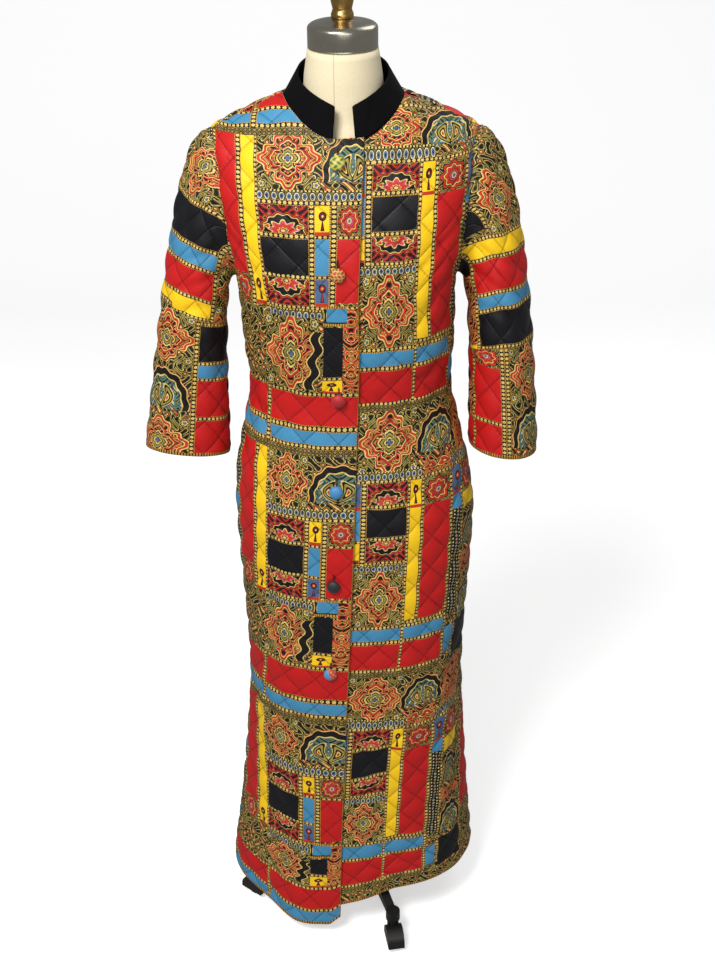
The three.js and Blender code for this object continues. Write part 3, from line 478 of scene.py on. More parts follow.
def left_chart():
    """The under panel's print. What shows beside the over panel's edge begins at its column 29."""
    chart = Chart(*LEFT_SPAN)
    edge, side = LEFT_SPAN
    for number, p in enumerate(LEFT_PERIODS):
        top, foot, line, field = p.patch_top, p.patch_foot, p.line, p.field
        chart.add("medallion", 30, 120, p.wave - 4, field)
        if number == 0:
            chart.add("fan", 106, 192, p.wave - 12, field + 8)
        else:
            chart.add("fan", 116, 196, p.wave + 12, field - 6)
            chart.add("bow", 128, 184, top + 4, p.wave + 14)
        chart.add("scroll", 196, 250, top + 4, field - 10)
        for left, right in ((edge, 128), (184, 250)):
            chart.add("wave", left, right, top + 6, p.wave + 2)
        chart.add("chain", edge, 250, top, top + 6)
        chart.stack(edge, 36, top, "keyhole_blue", p.black_top, "blue", p.black_foot - 4,
                    "chain", p.black_foot - 10, "keyhole_yellow", foot)
        chart.patch_column(46, 106, p)
        chart.chains(line, top, (36, 46), (106, 111), (128, 134), (180, 187))
        chart.add("wave", edge, 106, foot - 18, foot - 6)
        chart.add("medallion", 34, 106, line, foot - 18)
        chart.stack(111, 128, top, "keyhole_yellow", p.black_top - 3, "yellow", line + 8)
        chart.stack(134, 180, top - 2, "rosette", p.black_top - 3, "red", line + 8)
        chart.add("chain", 111, 180, line, line + 8)
        chart.stack(187, 207, top, "keyhole_blue", top - 44, "blue", top - 66, "dots", line - 8)
        chart.stack(212, 252, top, "rosette", top - 48, "yellow", top - 74, "fan", top - 150)
        chart.add("scroll", 207, 264, top - 240, top - 150)
        chart.stack(207, 272, line + 56, "fan", line - 28, "black", line - 96)
        chart.stack(276, 322, top, "rosette", top - 42, "red", line + 8)
        chart.chains(line - 90, top, (207, 212), (270, 276), (322, 330))
    for blue_top, blue_foot, red_top, red_foot in LEFT_BANDS:
        chart.stack(edge, 180, blue_top + 7, "chain", blue_top, "blue", blue_foot, "chain", red_top,
                    "red", red_foot, "chain", red_foot - 7, "rows", red_foot - 15)
        chart.chains(red_foot - 7, blue_top + 7, (106, 112), (180, 187))
        chart.add("blue", 187, 205, red_foot + 4, red_foot + 52)
    chart.add("chain", -20, side, 1425, 1432)
    chart.add("red", -20, side, 1452, 1500)
    return chart


def back_chart():
    """Nothing of the back is seen. The same cloth runs over it in one piece, without the opening."""
    chart = Chart(*BACK_SPAN)
    low, high = BACK_SPAN
    for shift, start, end in ((-2 * LAP, low, -LAP), (-RIGHT_SPAN[0] - LAP, -LAP, high)):
        for kind, left, right, bottom, top, flip in right_chart().patches[1:]:
            left, right = max(left + shift, start), min(right + shift, end)
            if right - left > 1:
                chart.patches.append((kind, left, right, bottom + BACK_RISE, top + BACK_RISE, flip))
    return chart


def right_sleeve_chart():
    chart = Chart(-420, 140, -10, 560)
    for left, right in ((-105, -18), (-215, -125)):
        chart.add("medallion", left, right, 392, 480)
    chart.stack(-420, 26, 390, "chain", 383, "black", 333, "chain", 326, "blue", 304, "chain", 297,
                "red", 258, "chain", 252)
    chart.stack(-420, -38, 252, "yellow", 236, "chain", 229)
    chart.stack(-38, 26, 252, "yellow", 230, "chain", 223)
    chart.stack(34, 140, 372, "scroll", 312, "medallion", 240, "scroll", 214)
    chart.chains(214, 372, (26, 34))
    chart.stack(-88, 4, 226, "medallion", 150, "fan", 62, "medallion", -12)
    chart.stack(-160, -88, 226, "scroll", 178, "medallion", 96, "fan", 14, "scroll", -12)
    chart.stack(12, 140, 222, "chain", 215, "black", 156, "chain", 150, "blue", 130, "chain", 124,
                "red", 66, "chain", 59, "red", -12)
    chart.stack(-420, -168, 226, "black", 166, "chain", 158, "blue", 138, "chain", 130, "red", -12)
    chart.chains(-12, 222, (4, 12), (-168, -160))
    return chart


def left_sleeve_chart():
    chart = Chart(-140, 420, -10, 560)
    chart.add("medallion", 10, 92, 354, 446)
    chart.add("fan", 100, 180, 362, 452)
    chart.stack(-38, 420, 354, "chain", 347, "yellow", 324, "chain", 317, "red", 271, "chain", 264,
                "blue", 246, "chain", 239, "black", 187, "chain", 180)
    chart.stack(-140, -44, 390, "black", 300, "scroll", 236, "scroll", 190, "yellow", 174)
    chart.stack(10, 86, 180, "medallion", 94, "fan", 6, "scroll", -12)
    chart.stack(94, 250, 180, "fan", 100, "scroll", 40, "fan", -12)
    chart.stack(-54, -6, 180, "rosette", 146, "red", 60, "chain", 53, "red", -12)
    chart.stack(-140, -60, 168, "red", 110, "scroll", 50, "red", -12)
    chart.chains(180, 354, (-44, -38))
    chart.add("black", -72, 0, 362, 434)
    chart.chains(354, 434, (0, 6))
    chart.chains(-12, 180, (-60, -54), (-6, 2), (2, 10), (86, 94))
    return chart


def right_sleeve_slant(x, row):
    """The bands drop towards the body, above the sleeve's lower part."""
    return row - 0.25 * np.clip(x, -120, 40) * ramp(196, 240, row) * ramp(540, 470, row)


def left_sleeve_slant(x, row):
    lean = 0.42 * np.clip(x, -60, 0) + 0.16 * np.clip(x, 0, 70)
    return row + lean * ramp(150, 200, row) * ramp(540, 470, row)


# ---------------------------------------------------------------- node graphs


def linear(red, green, blue):
    """An sRGB colour, 0 to 255, as Blender's linear one."""
    parts = [c / 255 for c in (red, green, blue)]
    return tuple(c / 12.92 if c <= 0.04045 else ((c + 0.055) / 1.055) ** 2.4 for c in parts) + (1.0,)


def wired(operation):
    """A method that does one operation of the Math node."""
    def method(self, *others):
        return self.graph.math(operation, self, *others)
    return method


class Wire:
    """One value in a material's node tree, which takes plain arithmetic."""

    def __init__(self, graph, socket):
        self.graph = graph
        self.socket = socket

    def __rsub__(self, other):
        return self.graph.math("SUBTRACT", other, self)

    __add__ = __radd__ = wired("ADD")
    __mul__ = __rmul__ = wired("MULTIPLY")
    __sub__ = wired("SUBTRACT")
    __truediv__ = wired("DIVIDE")
    abs = wired("ABSOLUTE")
    sin = wired("SINE")
    cos = wired("COSINE")
    fract = wired("FRACT")
    root = wired("SQRT")
    angle_over = wired("ARCTAN2")
    least = wired("MINIMUM")
    most = wired("MAXIMUM")
    above = wired("GREATER_THAN")
    below = wired("LESS_THAN")
    near = wired("COMPARE")


class Graph:
    def __init__(self, name):
        self.material = bpy.data.materials.new(name)
        self.material.use_nodes = True
        self.tree = self.material.node_tree
        self.tree.nodes.clear()

    def node(self, kind, **settings):
        made = self.tree.nodes.new(kind)
        for key, value in settings.items():
            setattr(made, key, value)
        return made

    def put(self, socket, value):
        if isinstance(value, Wire):
            self.tree.links.new(value.socket, socket)
        elif socket.type == "VECTOR":
            socket.default_value = value[:3]
        else:
            socket.default_value = value

    def math(self, operation, *values):
        node = self.node("ShaderNodeMath", operation=operation)
        for socket, value in zip(node.inputs, values):
            self.put(socket, value)
        return Wire(self, node.outputs[0])

    def uv(self, layer):
        """A layer's two values, in millimetres."""
        node = self.node("ShaderNodeUVMap", uv_map=layer)
        parts = self.node("ShaderNodeSeparateXYZ")
        self.tree.links.new(node.outputs[0], parts.inputs[0])
        return Wire(self, parts.outputs[0]) * 1000, Wire(self, parts.outputs[1]) * 1000

    def object_place(self):
        node = self.node("ShaderNodeTexCoord")
        return Wire(self, node.outputs["Object"])

    def split(self, vector):
        parts = self.node("ShaderNodeSeparateXYZ")
        self.put(parts.inputs[0], vector)
        return [Wire(self, parts.outputs[i]) for i in range(3)]

    def join(self, x, y, z=0.0):
        node = self.node("ShaderNodeCombineXYZ")
        for socket, value in zip(node.inputs, (x, y, z)):
            self.put(socket, value)
        return Wire(self, node.outputs[0])

    def noise(self, place, scale, detail=2.0):
        node = self.node("ShaderNodeTexNoise")
        self.put(node.inputs["Vector"], place)
        node.inputs["Scale"].default_value = scale
        node.inputs["Detail"].default_value = detail
        return Wire(self, node.outputs["Fac"])

    def mix(self, mask, under, over):
        node = self.node("ShaderNodeMix", data_type="RGBA")
        self.put(node.inputs["Factor"], mask)
        self.put(node.inputs[6], under)
        self.put(node.inputs[7], over)
        return Wire(self, node.outputs[2])

    def shade(self, colour, amount):
        """A colour times a number."""
        node = self.node("ShaderNodeVectorMath", operation="SCALE")
        self.put(node.inputs[0], colour)
        self.put(node.inputs["Scale"], amount)
        return Wire(self, node.outputs[0])

    def levels(self, value, stops):
        """Flat colours by value: stops are (where it begins, colour)."""
        node = self.node("ShaderNodeValToRGB")
        node.color_ramp.interpolation = "CONSTANT"
        ramp_stops = node.color_ramp.elements
        while len(ramp_stops) < len(stops):
            ramp_stops.new(1.0)
        for element, (position, colour) in zip(ramp_stops, stops):
            element.position = position
            element.color = colour
        self.put(node.inputs[0], value)
        return Wire(self, node.outputs[0])

    def bump(self, height, distance, strength=1.0, under=None):
        node = self.node("ShaderNodeBump")
        node.inputs["Strength"].default_value = strength
        node.inputs["Distance"].default_value = distance
        self.put(node.inputs["Height"], height)
        if under is not None:
            self.put(node.inputs["Normal"], under)
        return Wire(self, node.outputs[0])

    def finish(self, colour, normal=None, roughness=0.6, **fixed):
        """Ends the tree in a Principled shader. fixed are numbers set on its own sockets."""
        shader = self.node("ShaderNodeBsdfPrincipled")
        output = self.node("ShaderNodeOutputMaterial")
        self.tree.links.new(shader.outputs[0], output.inputs[0])
        self.put(shader.inputs["Base Color"], colour)
        self.put(shader.inputs["Roughness"], roughness)
        if normal is not None:
            self.put(shader.inputs["Normal"], normal)
        for name, value in fixed.items():
            shader.inputs[name.replace("_", " ")].default_value = value
        return self.material


# ---------------------------------------------------------------- the print's motifs

RED = linear(196, 24, 24)
BLACK = linear(14, 13, 17)
INK = linear(20, 14, 12)
YELLOW = linear(252, 204, 26)
BLUE = linear(70, 140, 180)
GOLD = linear(196, 148, 56)
STRAW = linear(226, 196, 108)
CREAM = linear(236, 222, 160)
BROWN = linear(84, 44, 20)
OLIVE = linear(104, 94, 40)
LIME = linear(158, 142, 66)
TEAL = linear(70, 118, 112)
SLATE = linear(78, 100, 138)
BRICK = linear(190, 50, 28)
WINE = linear(104, 16, 30)
ORANGE = linear(220, 104, 40)
PINK = linear(196, 70, 92)

WARM_CURLS = [(0.0, INK), (0.14, BRICK), (0.36, STRAW), (0.46, INK), (0.56, ORANGE), (0.72, INK),
              (0.82, STRAW), (0.90, BRICK)]
COOL_CURLS = [(0.0, INK), (0.20, OLIVE), (0.36, STRAW), (0.45, INK), (0.63, LIME), (0.74, INK),
              (0.84, BRICK), (0.94, STRAW)]
SEA_CURLS = [(0.0, INK), (0.12, TEAL), (0.40, LIME), (0.48, INK), (0.58, TEAL), (0.78, SLATE), (0.90, STRAW)]


def polar(x, y):
    return (x * x + y * y).root(), y.angle_over(x)


def curls(x, y, fine=0.24):
    """Curling lines, 0 to 1, about 2 pi / fine millimetres apart."""
    across = x * fine + (y * fine * 0.83).sin() * 1.5
    up = y * fine + (x * fine * 0.91 + 1.0).sin() * 1.5
    return across.sin() * up.sin() * 0.5 + 0.5


def medallion(g, x, y, u, v):
    """A cusped diamond of red scrollwork round a small flower, on dark olive foliage."""
    radius, angle = polar(u, v)
    lobes = (angle * 4).cos() * 0.17 + (angle * 12).cos() * 0.06 + 1.0
    t = radius / lobes + (u.abs() * 11).sin() * (v.abs() * 11).sin() * 0.03
    curl = curls(x.abs(), y.abs())
    cool, warm = g.levels(curl, COOL_CURLS), g.levels(curl, WARM_CURLS)
    rim = g.levels(t, [(0.0, INK), (0.70, STRAW), (0.73, BRICK), (0.80, STRAW), (0.84, INK)])
    waist = g.levels(t, [(0.0, INK), (0.44, STRAW), (0.47, BRICK), (0.54, INK)])
    heart = g.levels(t + (angle * 8).cos() * 0.014, [
        (0.0, SLATE), (0.08, INK), (0.11, STRAW), (0.16, INK), (0.19, LIME), (0.25, INK), (0.28, STRAW),
        (0.32, INK),
    ])
    out = g.mix(t.below(0.88), cool, rim)
    out = g.mix(t.below(0.69), out, warm)
    out = g.mix(t.near(0.49, 0.075), out, waist)
    out = g.mix(t.below(0.34), out, heart)
    corner, turn = polar(u.abs() - 0.86, v.abs() - 0.84)
    flower = g.levels(corner * 3.0 / ((turn * 5).cos() * 0.22 + 1.0), [
        (0.0, SLATE), (0.16, STRAW), (0.28, INK), (0.38, LIME), (0.56, INK),
    ])
    return g.mix(corner.below(0.2), out, flower)


def fan(g, x, y, u, v):
    """A half-round leaf with two curled drops in it, edged in black with a scalloped line."""
    radius, angle = polar(u, (v + 0.55) * 0.72)
    edge = radius / ((angle * 13).cos() * 0.03 + 1.0)
    curl = curls(x.abs(), y, 0.3)
    body = g.levels(edge, [(0.0, TEAL), (0.72, STRAW), (0.76, INK), (0.93, STRAW), (0.96, BRICK)])
    inside = g.mix(edge.below(0.72), body, g.levels(curl, SEA_CURLS))
    lean = v + 0.30
    drop, turn = polar(u.abs() - 0.26 + lean * lean * 0.9 - lean * 0.2, lean * 0.42)
    drop = drop / ((turn * 3).cos() * 0.12 + 1.0)
    leaf = g.levels(drop * 4.4, [
        (0.0, BRICK), (0.14, STRAW), (0.26, INK), (0.42, LIME), (0.62, INK), (0.78, STRAW),
    ])
    inside = g.mix(drop.below(0.20), inside, leaf)
    ground = g.levels(curls(x, y), COOL_CURLS)
    outside = edge.above(0.98).most(v.below(-0.72))
    return g.mix(outside, inside, ground)


def fan_dark(g, x, y, u, v):
    """A black scalloped strip beside a rosette, with pale buds."""
    lean = (u - v * 0.3 + (v * 8).cos() * 0.22) * 0.5 + 0.5
    warm = g.levels(curls(x, y, 0.32), WARM_CURLS)
    strip = g.levels(lean, [(0.0, INK), (0.24, STRAW), (0.29, INK), (0.62, STRAW), (0.67, INK)])
    cool = g.levels(curls(x, y, 0.32), COOL_CURLS)
    out = g.mix(lean.below(0.24), strip, warm)
    return g.mix(lean.above(0.70), out, cool)


def bow(g, x, y, u, v):
    """Two red curled leaves that meet in the middle."""
    radius, angle = polar(u.abs() - 0.45, v)
    t = radius / ((angle * 3 + 1.0).cos() * 0.25 + 1.0)
    leaf = g.levels(t, [(0.0, STRAW), (0.10, INK), (0.16, BRICK), (0.36, STRAW), (0.42, INK)])
    return g.mix(t.above(0.5), leaf, g.levels(curls(x.abs(), y, 0.3), WARM_CURLS))


def lotus(g, x, y, u, v):
    """A red flower that opens upward on black, under scalloped wine corners."""
    radius, angle = polar(u * 1.15, v + 0.82)
    petal = radius / ((angle * 9 - math.pi * 4.5).cos() * 0.20 + 1.0)
    flower = g.levels(petal, [
        (0.0, STRAW), (0.10, WINE), (0.18, STRAW), (0.23, BRICK), (0.45, PINK), (0.60, STRAW), (0.68, INK),
        (0.80, BLACK),
    ])
    span, around = polar(u, (v + 1.1) * 0.62)
    arch = span / ((around * 14).cos() * 0.045 + 1.0)
    ground = g.levels(arch, [(0.0, BLACK), (0.86, STRAW), (0.90, INK), (0.94, BRICK), (1.0, INK)])
    corners = g.levels(curls(x.abs(), y, 0.34), [
        (0.0, INK), (0.18, WINE), (0.45, BRICK), (0.62, WINE), (0.78, STRAW), (0.86, INK),
    ])
    side, lean = polar(u.abs() - 0.66, v + 0.55)
    leaf = g.levels(side * 3.0 / ((lean * 3).cos() * 0.3 + 1.0), [
        (0.0, BRICK), (0.3, STRAW), (0.45, OLIVE), (0.66, INK),
    ])
    out = g.mix(arch.above(1.02), ground, corners)
    out = g.mix(petal.below(0.70), out, flower)
    return g.mix(side.below(0.2), out, leaf)


def keyhole(ground, figure):
    """A small standing figure like a keyhole, in a plain frame."""
    def motif(g, x, y, u, v):
        radius, _ = polar(u, (v - 0.3) * 1.6)
        out = g.mix(radius.below(0.52), ground, INK)
        out = g.mix(radius.below(0.34), out, figure)
        out = g.mix(radius.below(0.14), out, STRAW)
        stem = u.abs().below((0.2 - v) * 0.3) * v.near(-0.3, 0.42)
        out = g.mix(stem, out, INK)
        inner = u.abs().below((0.1 - v) * 0.14) * v.near(-0.3, 0.36)
        out = g.mix(inner, out, figure)
        return g.mix(v.below(-0.78), out, BRICK)
    return motif


def rosette(g, x, y, u, v):
    """A round flower of eight petals with black and gold corners."""
    radius, angle = polar(u, v)
    t = radius / ((angle * 8).cos() * 0.11 + 1.0)
    out = g.levels(t, [
        (0.0, SLATE), (0.12, STRAW), (0.20, INK), (0.25, PINK), (0.36, INK), (0.40, BRICK), (0.62, STRAW),
        (0.68, INK), (0.73, BRICK), (0.88, INK),
    ])
    corners = g.levels(curls(x.abs(), y.abs(), 0.4), COOL_CURLS)
    return g.mix(t.above(0.95), out, corners)


def filler(g, x, y, u, v):
    """Close curled foliage in olive, gold and red over black."""
    return g.levels(curls(x, y), COOL_CURLS)


def scroll(g, x, y, u, v):
    """Flame-like curls, mostly red and orange."""
    return g.levels(curls(x.abs(), y, 0.27), WARM_CURLS)


def chain(g, x, y, u, v):
    """A narrow dark band of gold beads along its longer way, between gold lines."""
    half_x, half_y = g.uv("Patch")
    tall = half_y.above(half_x)
    along = y * tall + x * (1.0 - tall)
    side = u * tall + v * (1.0 - tall)
    bead, _ = polar(((along / 6.4).fract() - 0.5) * 2.0, side * 1.1)
    out = g.levels(bead, [(0.0, BROWN), (0.14, STRAW), (0.66, INK)])
    edge = g.mix((along / 3.2).fract().above(0.66), GOLD, BROWN)
    return g.mix(side.abs().above(0.74), out, edge)


def rows(g, x, y, u, v):
    """Two close rows of small dark beads."""
    step = (x / 6.0).fract() - 0.5
    line = (v + 1.0).fract() - 0.5
    bead, _ = polar(step * 2.0, line * 1.8)
    return g.levels(bead, [(0.0, WINE), (0.3, STRAW), (0.45, INK), (0.85, OLIVE)])


def wave(g, x, y, u, v):
    """A row of overlapping scallops, blue-grey with pale rims, on black."""
    step = (x / 9.0).fract() - 0.5
    bump, _ = polar(step * 2.0, v * 0.9 + 0.25)
    out = g.levels(bump, [(0.0, INK), (0.22, SLATE), (0.56, CREAM), (0.70, INK), (0.92, OLIVE)])
    line = g.mix((x / 4.5).fract().above(0.5), STRAW, INK)
    return g.mix(v.above(0.70), out, line)


def dots(g, x, y, u, v):
    """Three strands of beads down a column."""
    lane = (u * 1.5 + 0.5).fract() - 0.5
    middle = u.abs().below(0.34)
    step = (y / 6.0 + middle * 0.5).fract() - 0.5
    bead, _ = polar(step * 2.0, lane * 2.2)
    beads = g.levels(bead, [(0.0, CREAM), (0.40, OLIVE), (0.62, INK)])
    flower = g.levels(bead, [(0.0, PINK), (0.36, STRAW), (0.55, TEAL), (0.8, INK)])
    return g.mix(middle, beads, flower)


def border(g, x, y, u, v):
    """The narrow gold and brown strip along a hem."""
    return g.mix((x / 4.0).fract().above(0.5), GOLD, BROWN)


def plain(colour):
    def motif(g, x, y, u, v):
        return colour
    return motif


MOTIFS = {
    "border": border, "red": plain(RED), "black": plain(BLACK), "yellow": plain(YELLOW), "blue": plain(BLUE),
    "chain": chain, "rows": rows, "wave": wave, "dots": dots, "medallion": medallion, "fan": fan,
    "fan_dark": fan_dark, "bow": bow, "lotus": lotus, "keyhole_yellow": keyhole(YELLOW, WINE),
    "keyhole_blue": keyhole(SLATE, BRICK), "rosette": rosette, "scroll": scroll, "vine": filler,
}
KINDS = list(MOTIFS)
PLAIN_KINDS = ("red", "black", "yellow", "blue")
LATTICE = 1 / math.hypot(1 / STITCH_ACROSS, 1 / STITCH_UP)  # millimetres across one stitched line per unit


def cloth_finish(g, colour, roughness):
    """Quilted cotton: its weave, stitched grooves with painted shade in them, thread and small puckers."""
    x, y = g.uv("Cloth")
    weave = (x * 7.0).sin() * (y * 7.0).sin()
    fine = g.bump(weave, 0.00004, 0.6)
    u, v = x / STITCH_ACROSS, (y - FIRST_ROW) / STITCH_UP
    # shade holds the painted shade of the stitched grooves, then the cloth's random slub tone
    shade = 1.0
    height = 0.0
    for lean in (1.0, -1.0):
        crossing = (u + v * lean) * 0.5
        off = ((crossing + 0.5).fract() - 0.5).abs() * (2 * LATTICE)
        along = (u - v * lean) * LATTICE
        groove = 1.0 - (off / 3.0).least(1.0)
        groove = groove * groove
        pucker = g.noise(g.join(along * 0.0011, off * 0.00022 + lean), 260.0, 2.0)
        fade = 1.0 - (off / 11.0).least(1.0)
        height = height + pucker * fade * 1.3 - groove
        stitch = off.below(0.42) * (along / 2.9).fract().below(0.72)
        height = height + stitch * 0.3
        # painted shade: each stitched groove darkens the colour by up to 30 percent
        shade = shade * (1.0 - groove * 0.30)
    normal = g.bump(height, 0.001, 0.75, fine)
    slub = g.noise(g.join(x * 0.001, y * 0.001), 90.0, 3.0)
    shade = shade * (slub * 0.16 + 0.92)
    return g.finish(g.shade(colour, shade), normal, roughness, Specular_IOR_Level=0.32)


def print_material(kind):
    """The cloth of one kind of patch. u and v run from -1 to 1 over the patch."""
    g = Graph(f"print_{kind}")
    x, y = g.uv("Motif")
    half_x, half_y = g.uv("Patch")
    colour = MOTIFS[kind](g, x, y, x / half_x, y / half_y)
    return cloth_finish(g, colour, 0.5 if kind in PLAIN_KINDS else 0.6)


PRINTS = [print_material(kind) for kind in KINDS]


# ---------------------------------------------------------------- meshes


def new_object(name, vertices, faces, materials, uvs=None, face_materials=None):
    """A mesh object from millimetre points round the pole's axis."""
    mesh = bpy.data.meshes.new(name)
    mesh.from_pydata((np.asarray(vertices) * MM + AXIS).tolist(), [], [list(map(int, f)) for f in faces])
    for surface in materials:
        mesh.materials.append(surface)
    if face_materials is not None:
        mesh.polygons.foreach_set("material_index", np.asarray(face_materials, np.int32))
    for layer, values in (uvs or {}).items():
        made = mesh.uv_layers.new(name=layer)
        made.data.foreach_set("uv", (np.asarray(values, float) * MM).ravel().astype(np.float32))
    mesh.polygons.foreach_set("use_smooth", np.full(len(mesh.polygons), True))
    mesh.update()
    made = bpy.data.objects.new(name, mesh)
    bpy.context.scene.collection.objects.link(made)
    return made


def snapped_lines(low, high, edges, step):
    """Grid lines from low to high that fall on the edges and are at most a step apart."""
    near = 1.2  # edges that are closer than this share a line
    stops = [low]
    for edge in sorted(set(edges)):
        if low + near < edge < high - near and edge - stops[-1] > near:
            stops.append(edge)
    stops.append(high)
    lines = [low]
    for a, b in zip(stops, stops[1:]):
        count = math.ceil((b - a) / step)
        lines += [a + (b - a) * k / count for k in range(1, count + 1)]
    return np.array(lines)


def paint_cells(patches, xs, ups):
    """For each grid cell: its motif's number, centre and half size, and -1 where it is upside down."""
    shape = (len(ups) - 1, len(xs) - 1)
    cells = {
        "kind": np.zeros(shape, int), "x": np.zeros(shape), "y": np.zeros(shape),
        "half_x": np.ones(shape), "half_y": np.ones(shape), "flip": np.ones(shape),
    }

    def index(lines, value):
        return int(np.argmin(np.abs(lines - value)))

    for kind, left, right, bottom, top, flip in patches:
        if right <= xs[0] or left >= xs[-1] or top <= ups[0] or bottom >= ups[-1]:
            continue
        here = (slice(index(ups, bottom), index(ups, top)), slice(index(xs, left), index(xs, right)))
        cells["kind"][here] = KINDS.index(kind)
        cells["x"][here] = (left + right) / 2
        cells["y"][here] = (bottom + top) / 2
        cells["half_x"][here] = (right - left) / 2
        cells["half_y"][here] = (top - bottom) / 2
        cells["flip"][here] = flip
    return cells


def quilting(across, up):
    """The printed shell's place outward of the surface, from a stitched line to a diamond's middle."""
    u, v = across / STITCH_ACROSS, (up - FIRST_ROW) / STITCH_UP
    a, b = (u + v) / 2, (u - v) / 2
    pillow = np.abs(np.sin(math.pi * a) * np.sin(math.pi * b)) ** 0.6
    return WALL_LINE + (WALL_PUFF - WALL_LINE) * pillow


def settled(relief, level, share):
    """Relief that has come to a level where share is 0."""
    return level + (relief - level) * share


def clip_cells(signs):
    """Cuts the cells that a boundary crosses. Returns whole cells and cut polygons.

    signs are arrays of signed distances at the grid's points, kept where all are positive. A cut
    polygon's corners are (row, column) pairs or points between two of them with a share.
    """
    rows_count, columns_count = signs[0].shape
    inside = np.ones((rows_count, columns_count), bool)
    for sign in signs:
        inside &= sign > 0
    count = inside[:-1, :-1].astype(int) + inside[1:, :-1] + inside[:-1, 1:] + inside[1:, 1:]
    whole = count == 4
    cut = []
    for r, c in zip(*np.nonzero((count > 0) & (count < 4))):
        loop = [((r, c), (r, c), 0.0), ((r, c + 1), (r, c + 1), 0.0), ((r + 1, c + 1), (r + 1, c + 1), 0.0),
                ((r + 1, c), (r + 1, c), 0.0)]
        for sign in signs:
            loop = clip_loop(loop, sign)
        if len(loop) >= 3:
            cut.append(((r, c), loop))
    return whole, cut


def value_at(point, values):
    a, b, f = point
    return values[a] * (1 - f) + values[b] * f


def clip_loop(loop, sign):
    """Cuts one polygon by one boundary. Only corners on the grid's own edges are cut between."""
    out = []
    for i, here in enumerate(loop):
        after = loop[(i + 1) % len(loop)]
        low, high = value_at(here, sign), value_at(after, sign)
        if low > 0:
            out.append(here)
        if (low > 0) != (high > 0):
            a = here[0] if here[2] < 0.5 else here[1]
            b = after[0] if after[2] < 0.5 else after[1]
            if a == b:
                continue
            if a > b:
                a, b = b, a
            low, high = sign[a], sign[b]
            if (low > 0) == (high > 0):
                continue
            out.append((a, b, float(np.clip(low / (low - high), 0.02, 0.98))))
    return out


def cloth_mesh(name, xs, ups, positions, cloth_uv, cells, signs, materials, reverse=False):
    """One printed shell from a grid of points, cut along its boundaries."""
    whole, cut = clip_cells(signs)
    grid = np.concatenate([positions, cloth_uv, np.stack(np.meshgrid(xs, ups), axis=-1)], axis=-1)
    numbers = np.arange(grid[..., 0].size).reshape(grid.shape[:2])
    r, c = np.nonzero(whole)
    quads = [numbers[r, c], numbers[r, c + 1], numbers[r + 1, c + 1], numbers[r + 1, c]]
    faces = np.stack(quads, axis=-1).tolist()
    cell_of = list(zip(r.tolist(), c.tolist()))
    added, values = {}, []
    for cell, loop in cut:
        ids = []
        for a, b, f in loop:
            key = (a, b, round(f, 4))
            if a != b and key not in added:
                added[key] = numbers.size + len(added)
                values.append(value_at((a, b, f), grid))
            ids.append(int(numbers[a]) if a == b else added[key])
        ids = [n for i, n in enumerate(ids) if n != ids[i - 1]]
        if len(set(ids)) == len(ids) >= 3:
            faces.append(ids)
            cell_of.append(cell)
    if reverse:
        faces = [face[::-1] for face in faces]
    grid = np.concatenate([grid.reshape(-1, 7), np.reshape(values, (-1, 7))])
    sizes = [len(face) for face in faces]
    corners = np.array([n for face in faces for n in face])
    used, renumbered = np.unique(corners, return_inverse=True)
    here = tuple(np.repeat(cell_of, sizes, axis=0).T)
    motif = grid[corners, 5:] - np.stack([cells["x"][here], cells["y"][here]], axis=-1)
    motif[:, 1] *= cells["flip"][here]
    uvs = {
        "Cloth": grid[corners, 3:5], "Motif": motif,
        "Patch": np.stack([cells["half_x"][here], cells["half_y"][here]], axis=-1),
    }
    loops = np.split(renumbered, np.cumsum(sizes)[:-1])
    kinds = cells["kind"][tuple(np.transpose(cell_of))]
    return new_object(name, grid[used, :3], loops, materials, uvs, kinds)


def grid_normals(points, toward):
    """Normals of a grid of points, turned to the side that toward picks."""
    across = np.gradient(points, axis=1)
    up = np.gradient(points, axis=0)
    return unit(np.cross(across, up)) * toward


def grid_faces(lines, count, closed=False, ringed=False):
    """Quads between lines of points. closed joins each line's ends, ringed the last line to the first."""
    faces = []
    for r in range(lines if ringed else lines - 1):
        low, high = r * count, (r + 1) % lines * count
        for c in range(count if closed else count - 1):
            n = (c + 1) % count
            faces.append((low + c, low + n, high + n, high + c))
    return faces


EDGE_ROLL = (35, 75, 110, 145, 180)
TURN_ROWS = (2, 4, 6)
SHELL = 3.2  # how thick a folded edge is


def folded_edge(edge, normals, outward, rows_inside, normals_inside):
    """Lines of points that fold a shell's edge inward: round it, then a little way back."""
    radius = SHELL / 2
    made = []
    for degrees in EDGE_ROLL:
        angle = math.radians(degrees)
        made.append(edge + outward * (radius * math.sin(angle)) - normals * (radius * (1 - math.cos(angle))))
    for row, normal in zip(rows_inside, normals_inside):
        made.append(row - normal * SHELL)
    return made


def with_fold(grid, normals, values, side=""):
    """Adds folded rows below a grid's first row, or beside its first or last column.

    values are grids that repeat their row at the edge.
    """
    def edge_first(v):
        v = v.swapaxes(0, 1) if side else v
        return v[::-1] if side == "last" else v

    def edge_back(v):
        v = v[::-1] if side == "last" else v
        return v.swapaxes(0, 1) if side else v

    grid, normals = edge_first(grid), edge_first(normals)
    inner = [normals[0 if side else k] for k in TURN_ROWS]
    extra = folded_edge(grid[0], normals[0], unit(grid[0] - grid[1]), [grid[k] for k in TURN_ROWS], inner)
    count = len(extra)

    def lengthened(v):
        v = edge_first(v)
        return edge_back(np.concatenate([np.repeat(v[:1], count, axis=0), v]))

    return edge_back(np.concatenate([np.stack(extra[::-1]), grid])), [lengthened(v) for v in values], count


def backing_material():
    g = Graph("backing_cotton")
    x, y, z = g.split(g.object_place())
    weave = (x * 5200.0).sin() * (z * 5200.0).sin()
    cloud = g.noise(g.object_place(), 30.0)
    return g.finish(g.shade(linear(200, 168, 120), cloud * 0.2 + 0.85), g.bump(weave, 0.00005), 0.85)


